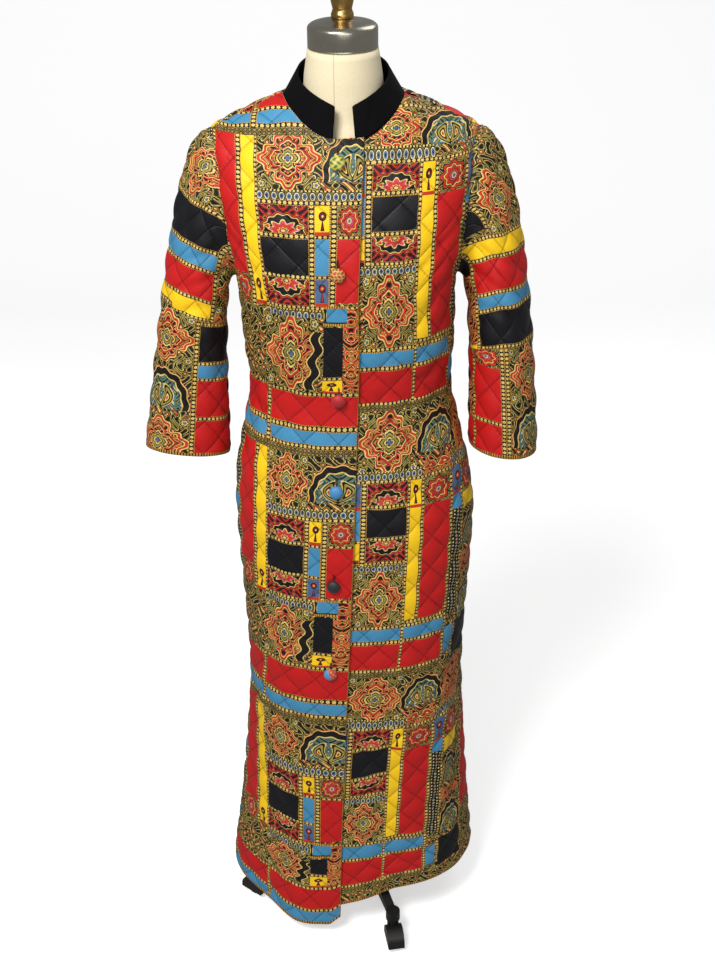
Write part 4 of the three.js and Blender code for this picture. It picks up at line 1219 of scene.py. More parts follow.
BACKING = backing_material()
BACKING_START, BACKING_ROWS, BACKING_COLUMNS = 3, 5, 4  # in lines of the printed shell's grid
BACKING_UNIT = 12.0  # its own map has one step per line


def backing(name, points, normals, offset, signs, reverse=False):
    """The plain inside of a quilted wall, in coarser steps. It begins above the folded hem's edge."""
    height, width = points.shape[:2]
    rows_taken = np.unique(np.append(np.arange(BACKING_START, height, BACKING_ROWS), height - 1))
    columns_taken = np.unique(np.append(np.arange(0, width, BACKING_COLUMNS), width - 1))
    pick = np.ix_(rows_taken, columns_taken)
    place = points[pick] + normals[pick] * offset[pick][..., None]
    shape = (len(rows_taken) - 1, len(columns_taken) - 1)
    cells = {key: np.zeros(shape) for key in ("x", "y")}
    cells |= {key: np.ones(shape) for key in ("half_x", "half_y", "flip")}
    cells["kind"] = np.zeros(shape, int)
    xs, ups = np.arange(shape[1] + 1) * BACKING_UNIT, np.arange(shape[0] + 1) * BACKING_UNIT
    uv = np.stack(np.meshgrid(xs, ups), axis=-1)
    kept = [s[pick] for s in signs]
    return cloth_mesh(name, xs, ups, place, uv, cells, kept, [BACKING], not reverse)


# ---------------------------------------------------------------- the robe's shells

# Height, scale and shift from a print's own columns to distances from the button line.
RIGHT_WARP = [(30, 1.04, 6), (290, 1.065, 9), (430, 1.10, 15), (600, 1.03, 12), (750, 1.017, 11.4),
              (1000, 1.01, 8), (1250, 1.0, 0), (1460, 0.98, -3)]
LEFT_WARP = [(60, 0.95, 4), (170, 0.95, 4), (350, 0.97, 5.5), (600, 1.0, 0), (1145, 1.0, 0),
             (1280, 0.9, 1), (1400, 0.85, 0)]
UNDER_START = 29  # the first of the under panel's columns that shows beside the over panel's edge


def warped(table, x, up):
    heights, scales, shifts = zip(*table)
    return x * np.interp(up, heights, scales) - np.interp(up, heights, shifts)


def right_place(x, up):
    """From the print's own column to the distance from the button line."""
    edge = warped(RIGHT_WARP, 0 * x, up)
    return np.where(x > 0, edge + (LAP - edge) * x / LAP, warped(RIGHT_WARP, x, up))


def left_place(x, up):
    edge = warped(LEFT_WARP, UNDER_START + 0 * x, up)
    inner = (edge + LAP) * (x + LAP) / (UNDER_START + LAP) - LAP
    return np.where(x < UNDER_START, inner, warped(LEFT_WARP, x, up))


def left_slant(x, up):
    near = np.exp(-((x - 71) / 42) ** 2 - ((up - 345) / 60) ** 2)
    return up + 0.3 * (x - 71) * near


# Creases: both ends on the cloth, then width, depth and how far the line bends.
FRONT_RIGHT_CREASES = [
    (-175, 1262, -96, 1168, 8, -3.2, 6),
    (-168, 1222, -92, 1120, 9, -2.4, 4),
    (-178, 1150, -110, 1085, 8, -2.0, 0),
    (-190, 1035, -70, 1012, 9, -2.2, -5),
    (-200, 1000, -90, 968, 10, -1.8, -6),
    (-150, 1390, -60, 1345, 12, -1.2, 0),
    (-60, 700, -120, 300, 22, 3.0, 10),
    (10, 520, -40, 120, 16, -2.4, -8),
    (-150, 560, -170, 90, 18, -3.0, 6),
]
FRONT_LEFT_CREASES = [
    (172, 1262, 98, 1180, 8, -3.0, -6),
    (178, 1200, 112, 1110, 8, -2.2, -5),
    (185, 1060, 90, 1020, 9, -2.0, 5),
    (200, 1000, 110, 985, 9, -1.6, 5),
    (150, 1392, 60, 1350, 12, -1.2, 0),
    (36, 470, 96, 300, 12, -3.4, -10),
    (120, 560, 150, 130, 20, 3.2, -8),
    (215, 600, 240, 120, 20, -3.4, 8),
]
BACK_CREASES = [
    (-168, 1270, -84, 1200, 9, -2.6, 5),
    (170, 1266, 92, 1190, 9, -2.6, -6),
    (-160, 1020, -40, 1000, 9, -2.4, 5),
    (150, 1012, 30, 990, 9, -2.2, -5),
    (-120, 976, 60, 970, 8, -1.6, 4),
    (-90, 640, -120, 160, 20, -3.0, 8),
    (100, 660, 118, 200, 22, 2.6, -8),
    (10, 720, 0, 240, 18, -2.2, 6),
]
SLEEVE_RIGHT_CREASES = [
    (60, 360, -60, 300, 8, -2.6, 8),
    (70, 320, -40, 262, 8, -2.4, 6),
    (60, 250, -50, 215, 9, -2.2, -6),
    (40, 190, -90, 178, 9, -2.0, 6),
    (30, 120, -80, 100, 10, -1.6, -5),
    (-60, 470, -90, 380, 12, -1.8, 0),
    (-200, 300, -300, 250, 10, -2.0, 6),
]
SLEEVE_LEFT_CREASES = [
    (-60, 360, 60, 300, 8, -2.6, -8),
    (-60, 310, 50, 256, 8, -2.4, -6),
    (-50, 240, 70, 214, 9, -2.2, 6),
    (-40, 180, 80, 170, 9, -2.0, -6),
    (-30, 110, 80, 96, 10, -1.6, 5),
    (60, 460, 90, 380, 12, -1.8, 0),
    (200, 300, 300, 250, 10, -2.0, -6),
]

PRINT_STEP = 3.7  # of the grid, where the print is seen from the front

PANELS = {
    "robe_front_right": {
        "face": FRONT, "hem": HEM_RIGHT_FRONT, "chart": right_chart, "span": RIGHT_SPAN, "step": PRINT_STEP,
        "place": right_place, "slant": lambda x, up: up, "swings": True, "folded": "last",
        "lift": lambda across: LAP_LIFT * ramp(-LAP - LAP_FADE, -LAP, across),
        "flat": lambda across: 1 - 0.4 * ramp(-LAP - STITCH_ACROSS, -LAP, across),
        "creases": FRONT_RIGHT_CREASES, "shift": LAP,
    },
    "robe_front_left": {
        "face": FRONT, "hem": HEM_LEFT_FRONT, "chart": left_chart, "span": LEFT_SPAN, "step": PRINT_STEP,
        "place": left_place, "slant": left_slant, "swings": True, "folded": "first",
        "lift": lambda across: 0 * across,
        "flat": lambda across: 0.3 + 0.7 * ramp(LAP, LAP + STITCH_ACROSS, across),
        "creases": FRONT_LEFT_CREASES, "shift": -LAP,
    },
    "robe_back": {
        "face": BACK, "hem": HEM_BACK, "chart": back_chart, "span": BACK_SPAN, "step": 4.3,
        "place": lambda x, up: x, "slant": lambda x, up: up, "swings": False, "folded": "",
        "lift": lambda across: 0 * across, "flat": lambda across: 1 + 0 * across,
        "creases": BACK_CREASES, "shift": 0,
    },
}


FAR = 99.0  # from a cut that isn't on this part of the body


def body_signs(face, points):
    """Distances, about in millimetres, inside of the side and shoulder seam, the armholes and the neck."""
    x, y, z = points[..., 0], points[..., 1], points[..., 2]
    seam = face["toward"] * y - SEAM_GAP / 2
    off = np.sqrt(((z - ARMHOLE_Z) / ARMHOLE_HALF_Z) ** 2 + (y / ARMHOLE_HALF_Y) ** 2)
    armhole = np.where(np.abs(x) > NECKLINE_HALF_X + 5, (off - 1) * 60, FAR)
    depth = np.where(y < 0, NECKLINE_FRONT, NECKLINE_BACK)
    ring = np.sqrt((x / NECKLINE_HALF_X) ** 2 + (y / depth) ** 2)
    neck = np.where(z > CHEST, (ring - 1) * 70, FAR)
    return [seam, armhole, neck]


def creased(rows, across, up):
    """Soft troughs and ridges, each along a line on the cloth that fades at its ends."""
    total = 0 * across
    for x0, y0, x1, y1, width, depth, bend in rows:
        run = math.hypot(x1 - x0, y1 - y0)
        along = np.clip(((across - x0) * (x1 - x0) + (up - y0) * (y1 - y0)) / run / run, 0, 1)
        arc = np.sin(math.pi * along)
        off = ((across - x0) * (y1 - y0) - (up - y0) * (x1 - x0)) / run + bend * arc
        total = total + depth * arc ** 0.7 * np.exp(-(off / width) ** 2)
    return total


PANEL_TOP = 1500
SLEEVE_TOP = 530
BORDER = 5  # height of the strip along a hem
EDGE_FADE = 9  # the quilting flattens this far from a hem
NECK_FADE = 10  # and from the neck
SEAM_DIP, SEAM_WIDTH = 2.4, 4.5
FOLD_STEP = 3.0  # from row to row of a folded edge, on the print


def bordered(chart, span, bottom, top, step):
    """A chart's patches with the strip along the hem, and grid lines that fall on their edges."""
    chart.add("border", *span, bottom, bottom + BORDER)
    patches = chart.patches
    xs = snapped_lines(*span, [edge for p in patches for edge in p[1:3]], step)
    ups = snapped_lines(bottom, top, [edge for p in patches for edge in p[3:5]], step)
    return patches, xs, ups


def panel(name):
    """A front or the back: its printed shell with folded edges, and its plain backing."""
    spec = PANELS[name]
    face, hem, step = spec["face"], spec["hem"], spec["step"]
    bottom = first_up(hem)
    patches, xs, ups = bordered(spec["chart"](), spec["span"], bottom, PANEL_TOP, step)
    grid_x, grid_up = np.meshgrid(xs, ups)
    across = spec["place"](grid_x, grid_up)
    up = spec["slant"](grid_x, grid_up)
    rise = hem_level(hem, across, up)
    length = across + (swing_at(rise) if spec["swings"] else 0)
    points = body_point(face, length, rise)
    normals = grid_normals(points, -face["toward"])
    signs = body_signs(face, points)

    edge = np.minimum(up - bottom, np.abs(across - spec["shift"]) if spec["folded"] else FAR)
    relief = quilting(across - spec["shift"], up) * spec["flat"](across)
    relief = settled(relief, WALL_EDGE, ramp(0, EDGE_FADE, edge))
    relief = settled(relief, WALL_NECK, ramp(0, NECK_FADE, signs[2]))
    seam = np.minimum.reduce([np.abs(s) for s in signs])
    relief = relief - SEAM_DIP * np.exp(-(seam / SEAM_WIDTH) ** 2)
    lift = spec["lift"](across) + creased(spec["creases"], across, up)
    grid = points + normals * (relief + lift)[..., None]
    inside = backing(f"{name}_backing", points, normals, WALL_INNER + lift, signs, face is BACK)

    cloth = np.stack([across - spec["shift"], up], axis=-1)
    values = [cloth, normals] + signs
    grid, values, rows = with_fold(grid, normals, values)
    all_ups = np.concatenate([ups[0] - FOLD_STEP * np.arange(rows, 0, -1), ups])
    if spec["folded"]:
        grid, values, columns = with_fold(grid, values[1], values, spec["folded"])
        steps = FOLD_STEP * np.arange(1, columns + 1)
        xs = np.concatenate([xs, xs[-1] + steps] if spec["folded"] == "last" else [xs[0] - steps[::-1], xs])
    cells = paint_cells(spread_to_edges(patches, xs, all_ups), xs, all_ups)
    shell = cloth_mesh(name + "_cloth", xs, all_ups, grid, values[0], cells, values[2:], PRINTS,
                       face is BACK)
    return shell, inside


def spread_to_edges(patches, xs, ups):
    """Runs the patches that end at a folded edge on over the fold."""
    out = []
    low_x, high_x = min(p[1] for p in patches), max(p[2] for p in patches)
    low = min(p[3] for p in patches if p[0] == "border")
    for kind, left, right, bottom, top, flip in patches:
        left = xs[0] if left <= low_x else left
        right = xs[-1] if right >= high_x else right
        bottom = ups[0] if bottom <= low else bottom
        out.append((kind, left, right, bottom, top, flip))
    return out


SLEEVE_CHARTS = {
    "robe_sleeve_right": (right_sleeve_chart, right_sleeve_slant, (-400, 134), SLEEVE_RIGHT_CREASES),
    "robe_sleeve_left": (left_sleeve_chart, left_sleeve_slant, (-134, 400), SLEEVE_LEFT_CREASES),
}
STUB = 9  # how far a sleeve's shell goes into the armhole
SLEEVE_SEAM_DIP = 2.0
CUFF_FADE = 12  # the seam's dip begins over this height
ARMHOLE_FADE = 12  # quilting, then creases, begin over these lengths below the armhole
CREASE_FADE = 30


def sleeve_shell(name):
    """A sleeve: its printed shell with a folded cuff, and its plain backing."""
    chart, slant, span, creases = SLEEVE_CHARTS[name]
    tube = Tube(SLEEVES[name])
    patches, xs, ups = bordered(chart(), span, 0, SLEEVE_TOP, PRINT_STEP)
    across, row = np.meshgrid(xs, ups)
    up = slant(across, row)
    points = tube.point(across, up)
    normals = grid_normals(points, 1)
    turn = tube.turn(across, up)
    girth = tube.girth(up)
    under = (math.pi - turn) * girth / (2 * math.pi)
    over = (turn + math.pi) * girth / (2 * math.pi)
    reach = tube.reach(turn) - up
    signs = [under, over, reach + STUB]

    relief = settled(quilting(across, up), WALL_EDGE, ramp(0, EDGE_FADE, up))
    relief = settled(relief, WALL_ARMHOLE, ramp(-1, ARMHOLE_FADE, reach))
    seam = np.minimum(np.abs(under), np.abs(over))
    relief = relief - SLEEVE_SEAM_DIP * np.exp(-(seam / SEAM_WIDTH) ** 2) * ramp(0, CUFF_FADE, up)
    lift = creased(creases, across, up) * ramp(4, CREASE_FADE, reach)
    grid = points + normals * (relief + lift)[..., None]
    inside = backing(f"{name}_backing", points, normals, WALL_INNER + lift, signs)
    cloth = np.stack([across, up], axis=-1)
    grid, values, rows = with_fold(grid, normals, [cloth] + signs)
    all_ups = np.concatenate([-FOLD_STEP * np.arange(rows, 0, -1), ups])
    cells = paint_cells(spread_to_edges(patches, xs, all_ups), xs, all_ups)
    return cloth_mesh(name + "_cloth", xs, all_ups, grid, values[0], cells, values[1:], PRINTS), inside


# ---------------------------------------------------------------- collar, buttons, buttonholes

COLLAR_THICK = 3
COLLAR_TUCK = 4
COLLAR_GAP = 10.4
COLLAR_HALF_X, COLLAR_FRONT, COLLAR_BACK = 63, 70, 56
COLLAR_TOP_COLUMNS = ("z", "height")
COLLAR_TOP = np.array([(0, 1409), (48, 1430), (90, 1445), (135, 1457), (180, 1461)], float)
COLLAR_STATIONS = 150
COLLAR_CREASES = [  # degrees round from the front, width in degrees, lean over the height, depth
    (-38, 3.0, 4, -1.5), (-70, 4.0, -6, -0.9), (29, 3.0, 16, -1.3), (62, 5.0, -8, -0.8), (118, 5.0, 6, -0.7),
    (-128, 5.0, -6, -0.7), (170, 6.0, 5, -0.5),
]


def yoke_height(x, y):
    """Height of the yoke over points of the plan."""
    front = y < 0
    row = {name: column[0] for name, column in body_row(np.array([CHEST])).items()}
    depth_row = np.where(front, row["front"], row["back"])
    rounded = np.where(front, FRONT["round"], BACK["round"])
    up = np.full(x.shape, 0.8)
    for _ in range(60):
        ring_x = np.abs(x) / spread_at(up)
        depth = depth_row * (1 - (ring_x / row["half"]) ** row["power"]) ** (1 / row["power"])
        ratio = np.minimum(1, np.abs(y) / depth)
        up = (up + (1 - ratio ** rounded) ** (1 / rounded)) / 2
    ring_x = np.abs(x) / spread_at(up)
    return CHEST + (shoulder_height(ring_x * (1 + SHOULDER_SPREAD)) - CHEST) * up


def collar_point(degrees, share):
    angle = np.radians(degrees)
    front = np.cos(angle) > 0
    base_x = (NECKLINE_HALF_X - SEAM_GAP) * np.sin(angle)
    base_y = -np.where(front, NECKLINE_FRONT - SEAM_GAP, NECKLINE_BACK - SEAM_GAP) * np.cos(angle)
    base = np.stack([base_x, base_y, yoke_height(base_x, base_y) - COLLAR_TUCK], axis=-1)
    around = np.where(degrees > 180, 360 - degrees, degrees)
    top = smooth_row(COLLAR_TOP, COLLAR_TOP_COLUMNS, around.ravel())["height"].reshape(around.shape)
    rim_y = -np.where(front, COLLAR_FRONT, COLLAR_BACK) * np.cos(angle)
    rim = np.stack([COLLAR_HALF_X * np.sin(angle), rim_y, top], axis=-1)
    return base + (rim - base) * share[..., None]


def collar_crease(degrees, share):
    around = np.where(degrees > 180, degrees - 360, degrees)
    total = 0 * degrees
    for middle, width, lean, depth in COLLAR_CREASES:
        off = (around - middle - lean * (share - 0.5)) / width
        total = total + depth * np.exp(-off ** 2) * np.sin(math.pi * np.clip(share, 0, 1)) ** 0.5
    return total


def velvet():
    g = Graph("collar_velvet")
    place = g.object_place()
    pile = g.noise(place, 900.0, 3.0)
    cloud = g.noise(place, 26.0)
    colour = g.shade(linear(8, 7, 9), cloud * 0.7 + 0.65)
    return g.finish(colour, g.bump(pile, 0.0006, 0.5), 0.9, Sheen_Weight=0.2, Sheen_Roughness=0.3,
                    Sheen_Tint=linear(90, 88, 100), Specular_IOR_Level=0.1)


def collar():
    """The stand collar as one closed shell: up its outside, over the rim and down its inside."""
    degrees = np.linspace(COLLAR_GAP, 360 - COLLAR_GAP, COLLAR_STATIONS)
    shares = np.linspace(0, 1, 12)
    grid_degrees, grid_share = np.meshgrid(degrees, shares)
    outer = collar_point(grid_degrees, grid_share)
    normals = grid_normals(outer, 1)
    rim, top = outer[-1], unit(outer[-1] - outer[-2])
    ends = np.minimum(degrees - COLLAR_GAP, 360 - COLLAR_GAP - degrees)
    thick = COLLAR_THICK * (0.35 + 0.65 * ramp(0, 2.2, ends))[:, None]  # thinner at its two ends
    rows = list(outer + normals * collar_crease(grid_degrees, grid_share)[..., None])
    for step in (30, 60, 90, 120, 150):
        angle = math.radians(step)
        over = top * (thick / 2 * math.sin(angle) - 0.6)
        rows.append(rim + over - normals[-1] * (thick / 2 * (1 - math.cos(angle))))
    for k in range(len(shares) - 1, -1, -3):
        rows.append(outer[k] - normals[k] * thick)
    points = np.stack(rows)
    count, width = points.shape[:2]
    faces = grid_faces(count, width, ringed=True)
    faces.append(tuple(r * width for r in range(count)))
    faces.append(tuple(r * width + width - 1 for r in range(count - 1, -1, -1)))
    return new_object("robe_collar_velvet", points.reshape(-1, 3), faces, [velvet()])


BUTTON_HEIGHTS = (1346, 1202, 1010, 864, 704, 540)
BUTTON_SIDES = 36
BUTTON_PROFILE = [(0, 0), (3, 0), (3, 1.2), (9.2, 1.3), (10.1, 1.9), (10.4, 2.9)]
BUTTON_RIM, BUTTON_DOME, BUTTON_RADIUS, SHANK = 1.6, 8, 10.4, 1.5
BUTTON_COLOURS = [
    ((190, 176, 66), (60, 110, 70), (214, 196, 110)),
    ((206, 160, 76), (180, 40, 40), (120, 96, 40)),
    ((196, 34, 40), (196, 34, 40), (150, 22, 32)),
    ((76, 146, 198), (76, 146, 198), (56, 118, 172)),
    ((26, 26, 32), (26, 26, 32), (40, 38, 46)),
    ((84, 146, 192), (186, 70, 52), (200, 160, 100)),
]


def button_material(index):
    """Print over a dome: a plain ground, or a ground with small marks of two other colours."""
    ground, mark, third = [linear(*c) for c in BUTTON_COLOURS[index]]
    g = Graph(f"button_{index + 1}_cloth")
    x, y = g.uv("Cloth")
    if index == len(BUTTON_HEIGHTS) - 1:
        colour = g.mix((x + y * 0.3).above(0.0), ground, mark)
        speckle = (x * 0.9).sin() * (y * 0.9).cos()
        colour = g.mix(speckle.above(0.55) * (x + y * 0.3).above(1.0), colour, third)
    elif ground == mark:
        colour = g.mix(g.noise(g.join(x * 0.001, y * 0.001), 300.0), ground, third)
    else:
        spots = (x * 0.62 + (y * 0.5).sin()).sin() * (y * 0.66).cos()
        colour = g.mix(spots.above(0.25), ground, mark)
        colour = g.mix(spots.below(-0.5), colour, third)
    weave = (x * 6.0).sin() * (y * 6.0).sin()
    return g.finish(colour, g.bump(weave, 0.00005), 0.5, Sheen_Weight=0.1)


def rise_at_height(height):
    rise = float(height)
    for _ in range(12):
        rise += height - body_point(FRONT, 0.0, rise)[2]
    return rise


def lap_height(rise):
    """Height of the upper front above the body's surface, on the button line, where it's flattened."""
    row = (rise - FIRST_ROW) / STITCH_UP
    low = math.floor(row)
    crossing = (11 + low) % 2 == 0
    near_crossing = row - low if crossing else low + 1 - row
    return LAP_LIFT + 0.6 * (-2.1 + 3.3 * near_crossing)


def turned(name, profile, sides, axes, origin, surface, uv=False):
    """A profile of (radius, along) pairs turned round an axis."""
    side, other, axis = axes
    radius, along = np.array(profile, float).T[..., None, None]
    angles = 2 * math.pi * np.arange(sides) / sides
    flat = radius * np.stack([np.cos(angles), np.sin(angles)], axis=-1)
    points = origin + along * axis + flat @ np.stack([side, other])
    faces = grid_faces(len(profile), sides, closed=True)
    uvs = {"Cloth": flat.reshape(-1, 2)[np.ravel(faces)]} if uv else None
    made = new_object(name, points.reshape(-1, 3), faces, [surface], uvs)
    merge_close(made)
    return made


def merge_close(made):
    """Joins the points that lie together where a profile meets its axis."""
    work = bmesh.new()
    work.from_mesh(made.data)
    bmesh.ops.remove_doubles(work, verts=work.verts, dist=0.00001)
    work.to_mesh(made.data)
    work.free()


def axes_along(axis):
    side = unit(np.cross([0.0, 0.0, 1.0], axis)) if abs(axis[2]) < 0.99 else np.array([1.0, 0.0, 0.0])
    return side, np.cross(axis, side), axis


def button(index):
    """A covered button on its shank, square to the cloth."""
    rise = rise_at_height(BUTTON_HEIGHTS[index])
    swing = float(swing_at(np.array(rise)))
    axis = body_normal(FRONT, np.array(swing), np.array(rise))
    seat = body_point(FRONT, swing, rise) + axis * (lap_height(rise) + SEAM_GAP + 0.2)
    profile = list(BUTTON_PROFILE)
    for degrees in range(10, 91, 8):
        angle = math.radians(degrees)
        profile.append((BUTTON_RADIUS * math.cos(angle),
                        SHANK + BUTTON_RIM + (BUTTON_DOME - BUTTON_RIM) * math.sin(angle)))
    profile.append((0, SHANK + BUTTON_DOME))
    return turned(f"robe_button_{index + 1}_cover", profile, BUTTON_SIDES, axes_along(axis), seat,
                  button_material(index), uv=True)


def thread_material():
    g = Graph("stitching_thread")
    place = g.object_place()
    strands = g.noise(place, 1500.0)
    return g.finish(g.shade(linear(60, 34, 30), strands * 0.5 + 0.75), g.bump(strands, 0.0004, 0.5), 0.6)


def front_point(across, up, offset):
    rise = hem_level(HEM_RIGHT_FRONT, across, up)
    length = across + swing_at(rise)
    return body_point(FRONT, length, rise) + body_normal(FRONT, length, rise) * (LAP_LIFT + offset)[..., None]


def buttonholes():
    """A narrow stitched ring, upright, just above each button."""
    rings, sides = 28, 6
    half_width, half_height, thread = 0.9, 6.0, 0.6
    angle, turn = np.meshgrid(*(2 * math.pi * np.arange(n) / n for n in (rings, sides)), indexing="ij")
    reach = thread * np.cos(turn)
    across = (half_width + reach) * np.cos(angle)
    ring_faces = grid_faces(rings, sides, closed=True, ringed=True)
    points, faces = [], []
    for height in BUTTON_HEIGHTS:
        up = rise_at_height(height) + 15 + (half_height + reach) * np.sin(angle)
        start = len(points) * rings * sides
        faces += [[start + n for n in face[::-1]] for face in ring_faces]
        points.append(front_point(across, up, 0.8 + thread * np.sin(turn)))
    return new_object("robe_buttonholes", np.reshape(points, (-1, 3)), faces, [thread_material()])


# ---------------------------------------------------------------- the dress form and its stand

FORM_COLUMNS = ("z", "half", "front", "back", "power")
FORM_RINGS = np.array([
    (620, 150, 104, 108, 2.2), (636, 160, 112, 117, 2.2), (779, 171, 113, 121, 2.2),
    (858, 163, 107, 112, 2.2), (986, 139, 97, 83, 2.2), (1067, 142, 106, 83, 2.3),
    (1160, 145, 112, 85, 2.4), (1250, 150, 105, 82, 2.4), (1310, 157, 94, 76, 2.3),
    (1350, 163, 79, 67, 2.3), (1366, 148, 69, 62, 2.3), (1386, 100, 58, 53, 2.1),
    (1404, 67, 55, 50, 2), (1422, 56, 53, 50, 2), (1442, 53, 52, 49, 2), (1475, 48, 48, 48, 2),
])
CAP_RADIUS, CAP_BOTTOM, CAP_SIDE, CAP_CROWN = 47.4, 1475, 26, 13


def linen():
    g = Graph("form_linen")
    place = g.object_place()
    x, y, z = g.split(place)
    turn = y.angle_over(x)
    weave = (z * 3900.0).sin() * (turn * 210.0).sin()
    slub = g.noise(g.join(turn * 0.3, z * 4.0), 60.0, 3.0)
    seam = x.abs().below(0.0006) * y.below(0.0)
    groove = 1.0 - (x.abs() * 700.0).least(1.0)
    colour = g.shade(linear(228, 214, 178), slub * 0.16 + 0.9)
    colour = g.mix(seam, colour, linear(190, 178, 150))
    height = weave * 0.12 + slub * 0.2 - groove * 0.5
    return g.finish(colour, g.bump(height, 0.0008, 0.6), 0.85, Sheen_Weight=0.2)


def torso():
    """The form's body and neck, closed below and under the cap."""
    columns = 120
    levels = np.unique(np.concatenate([np.arange(620, 1475, 9.0), FORM_RINGS[:, 0], [622, 626, 631]]))
    row = {name: values[:, None] for name, values in smooth_row(FORM_RINGS, FORM_COLUMNS, levels).items()}
    angles = 2 * math.pi * np.arange(columns) / columns
    depth = np.where(np.cos(angles) > 0, row["front"], row["back"])
    radius = square_radius(angles, row["half"], depth, row["power"])
    points = [radius * np.sin(angles), -radius * np.cos(angles), levels[:, None] + 0 * angles]
    faces = grid_faces(len(levels), columns, closed=True)
    ring = range(columns)
    faces += [tuple(ring[::-1]), tuple(columns * (len(levels) - 1) + c for c in ring)]
    return new_object("form_torso_linen", np.stack(points, axis=-1).reshape(-1, 3), faces, [linen()])


def metal(name, colour, roughness, brushed=0.0, mottled=0.0, metallic=1.0):
    """Metal whose surface shows where hands and tools have been: brushing round it, and faint marks."""
    g = Graph(name)
    place = g.object_place()
    z = g.split(place)[2]
    marks = g.noise(place, 55.0, 4.0)
    lines = g.noise(g.join(0.0, 0.0, z * 3.0), 420.0, 2.0)
    patina = g.shade(linear(*colour), marks * mottled + (1.0 - mottled / 2))
    height = lines * brushed + marks * 0.2
    rough = marks * 0.22 + (roughness - 0.11)
    return g.finish(patina, g.bump(height, 0.0003, 0.4), rough, Metallic=metallic)


STEEL = metal("cap_steel", (182, 177, 162), 0.26, brushed=1.0, mottled=0.10)
BRASS = metal("knob_brass", (176, 142, 80), 0.30, mottled=0.3)
CHROME = metal("pole_steel", (190, 190, 194), 0.22, mottled=0.06)
IRON = metal("base_iron", (30, 30, 32), 0.42, mottled=0.4, metallic=0.35)
DARK_IRON = metal("caster_iron", (46, 44, 42), 0.38, mottled=0.5, metallic=0.6)
RUBBER = metal("wheel_rubber", (28, 28, 30), 0.6, mottled=0.3, metallic=0.0)

UPRIGHT = (np.array([1.0, 0.0, 0.0]), np.array([0.0, 1.0, 0.0]), np.array([0.0, 0.0, 1.0]))
ORIGIN = np.zeros(3)


def cap():
    base, side_top = CAP_BOTTOM + SEAM_GAP, CAP_BOTTOM + CAP_SIDE
    profile = [(0, base), (46.4, base), (47.4, base + 1), (47.4, base + 2.4), (47.0, base + 3.0),
               (47.4, base + 3.6), (47.4, side_top - 1)]
    for degrees in range(0, 91, 10):
        angle = math.radians(degrees)
        profile.append((CAP_RADIUS - 14 * (1 - math.cos(angle)), side_top + 8 * math.sin(angle)))
    profile += [(25, side_top + 10.5), (15.2, side_top + CAP_CROWN), (0, side_top + CAP_CROWN)]
    return turned("neck_cap_steel", profile, 96, UPRIGHT, ORIGIN, STEEL)


KNOB_PROFILE = [
    (0, 0), (14.6, 0), (15.2, 0.8), (15.2, 5.2), (14.6, 6), (13.4, 9.5), (12.8, 11.2), (13.4, 13),
    (14.5, 17.5), (15.4, 22), (15.9, 26), (16, 30), (15.7, 34), (14.6, 38), (12.9, 42), (10.2, 46),
    (7, 50), (3.6, 52.8), (0, 54),
]


def knob():
    base = CAP_BOTTOM + CAP_SIDE + CAP_CROWN + SEAM_GAP
    return turned("neck_knob_brass", [(r, base + z) for r, z in KNOB_PROFILE], 72, UPRIGHT, ORIGIN, BRASS)


def pole():
    profile = [(0, 62), (11.9, 62), (12.5, 62.6), (12.5, 619.1), (11.9, 619.7), (0, 619.7)]
    return turned("pole_tube", profile, 64, UPRIGHT, ORIGIN, CHROME)


# ---------------------------------------------------------------- light, floor and camera


def floor_material():
    g = Graph("pale_floor")
    place = g.object_place()
    cloud = g.noise(place, 1.5)
    return g.finish(g.shade(linear(246, 246, 246), cloud * 0.03 + 0.985), None, 0.7,
                    Emission_Color=(1.0, 1.0, 1.0, 1.0), Emission_Strength=0.5)


def floor():
    """A pale floor that curves up into a backdrop."""
    half_width, front, back, top, radius = 9000, -7000, 4200, 6000.0, 1500
    rows = [(front, 0.0)]
    for degrees in range(0, 91, 6):
        angle = math.radians(degrees)
        rows.append((back - radius + radius * math.sin(angle), radius * (1 - math.cos(angle))))
    rows.append((back, top))
    points = np.array([(x, y, z) for y, z in rows for x in (-half_width, half_width)])
    made = new_object("floor", points - AXIS / MM, grid_faces(len(rows), 2), [floor_material()])
    made.visible_diffuse = False
    made.visible_glossy = False


# Place of each light, height of its aim over the pole's foot, and side, in metres, and its watts.
LIGHTS = {
    "key": ((-1.0, -1.95, 3.4), 0.75, 1.1, 102),
    "fill": ((0.3, -3.4, 2.1), 0.9, 2.2, 33),
    "rim": ((1.4, 1.4, 3.0), 1.0, 1.4, 16),
}
AMBIENT = 0.25


def area_light(name, place, aim_height, side, power):
    light = bpy.data.lights.new(name, "AREA")
    light.shape = "RECTANGLE"
    light.size = light.size_y = side
    light.energy = power
    made = bpy.data.objects.new(name, light)
    made.location = place
    made.rotation_euler = (Vector((0, 0, aim_height)) - Vector(place)).to_track_quat("-Z", "Y").to_euler()
    bpy.context.scene.collection.objects.link(made)


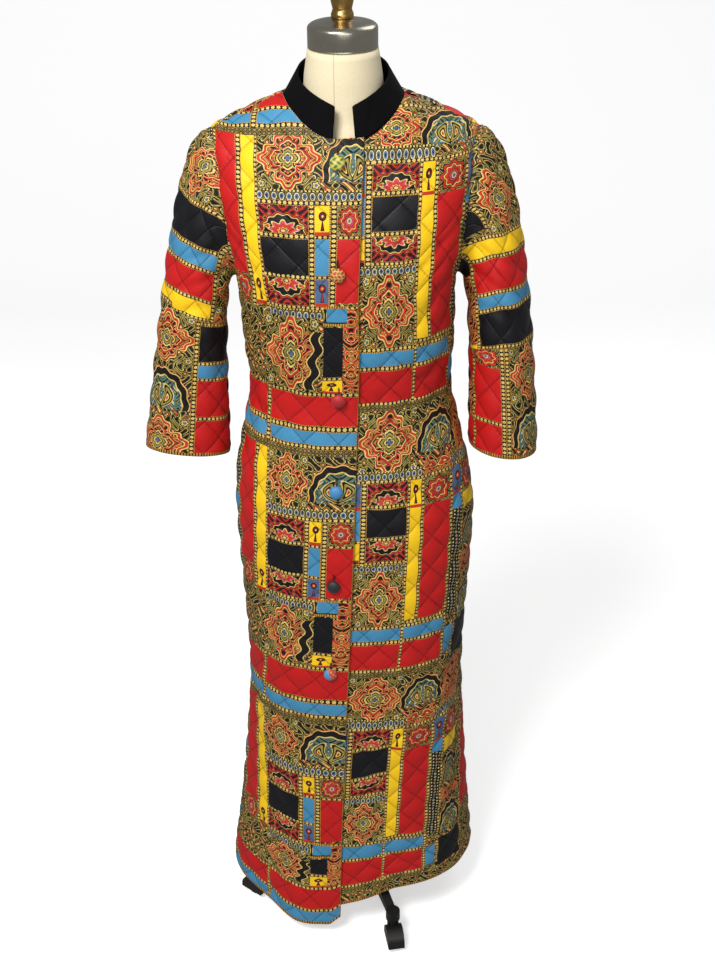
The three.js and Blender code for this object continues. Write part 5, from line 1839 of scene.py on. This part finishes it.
def studio():
    for name, settings in LIGHTS.items():
        area_light(name, *settings)
    world = bpy.data.worlds.new("studio")
    world.use_nodes = True
    background = world.node_tree.nodes["Background"]
    background.inputs[0].default_value = (1.0, 1.0, 1.0, 1.0)
    background.inputs[1].default_value = AMBIENT
    bpy.context.scene.world = world
    bpy.context.scene.view_settings.view_transform = "Standard"


PICTURE_HEIGHT = 954  # pixels
FOCAL_LENGTH = 1432  # pixels
SENSOR = 24
CAMERA_PLACE = (0.0115, -1.95, 1.90)  # metres from the pole's foot
CAMERA_TILT = math.radians(61)  # from straight down
CAMERA_ROLL = -0.014


def camera():
    data = bpy.data.cameras.new("camera")
    data.sensor_fit = "VERTICAL"
    data.sensor_height = SENSOR
    data.lens = FOCAL_LENGTH / PICTURE_HEIGHT * SENSOR
    data.clip_end = 60
    made = bpy.data.objects.new("camera", data)
    x, y, z = CAMERA_PLACE
    place = Matrix.Translation((AXIS[0] + x, AXIS[1] + y, z))
    made.matrix_world = place @ Matrix.Rotation(CAMERA_TILT, 4, "X") @ Matrix.Rotation(CAMERA_ROLL, 4, "Z")
    bpy.context.scene.collection.objects.link(made)
    bpy.context.scene.camera = made


# ---------------------------------------------------------------- the model


def cloth_piece(name, shell, inside):
    for made in (shell, inside):
        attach(made, "root")
    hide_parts(name)


def stand_in(made, node):
    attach(made, "root")
    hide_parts(node)


def paint_node(node, surface):
    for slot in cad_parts[node].material_slots:
        slot.material = surface


def build():
    for name in PANELS:
        cloth_piece(name, *panel(name))
    for name in SLEEVE_CHARTS:
        cloth_piece(name, *sleeve_shell(name))
    stand_in(collar(), "robe_collar")
    for index in range(len(BUTTON_HEIGHTS)):
        stand_in(button(index), f"robe_button_{index + 1}")
    holes = buttonholes()
    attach(holes, "root")
    stand_in(torso(), "form_torso")
    stand_in(cap(), "neck_cap")
    stand_in(knob(), "neck_knob")
    stand_in(pole(), "pole")
    paint_node("base_hub", IRON)
    for k in range(1, 5):
        paint_node(f"base_leg_{k}", IRON)
        paint_node(f"caster_{k}_hood", DARK_IRON)
        paint_node(f"caster_{k}_wheel", RUBBER)


build()
floor()
studio()
camera()
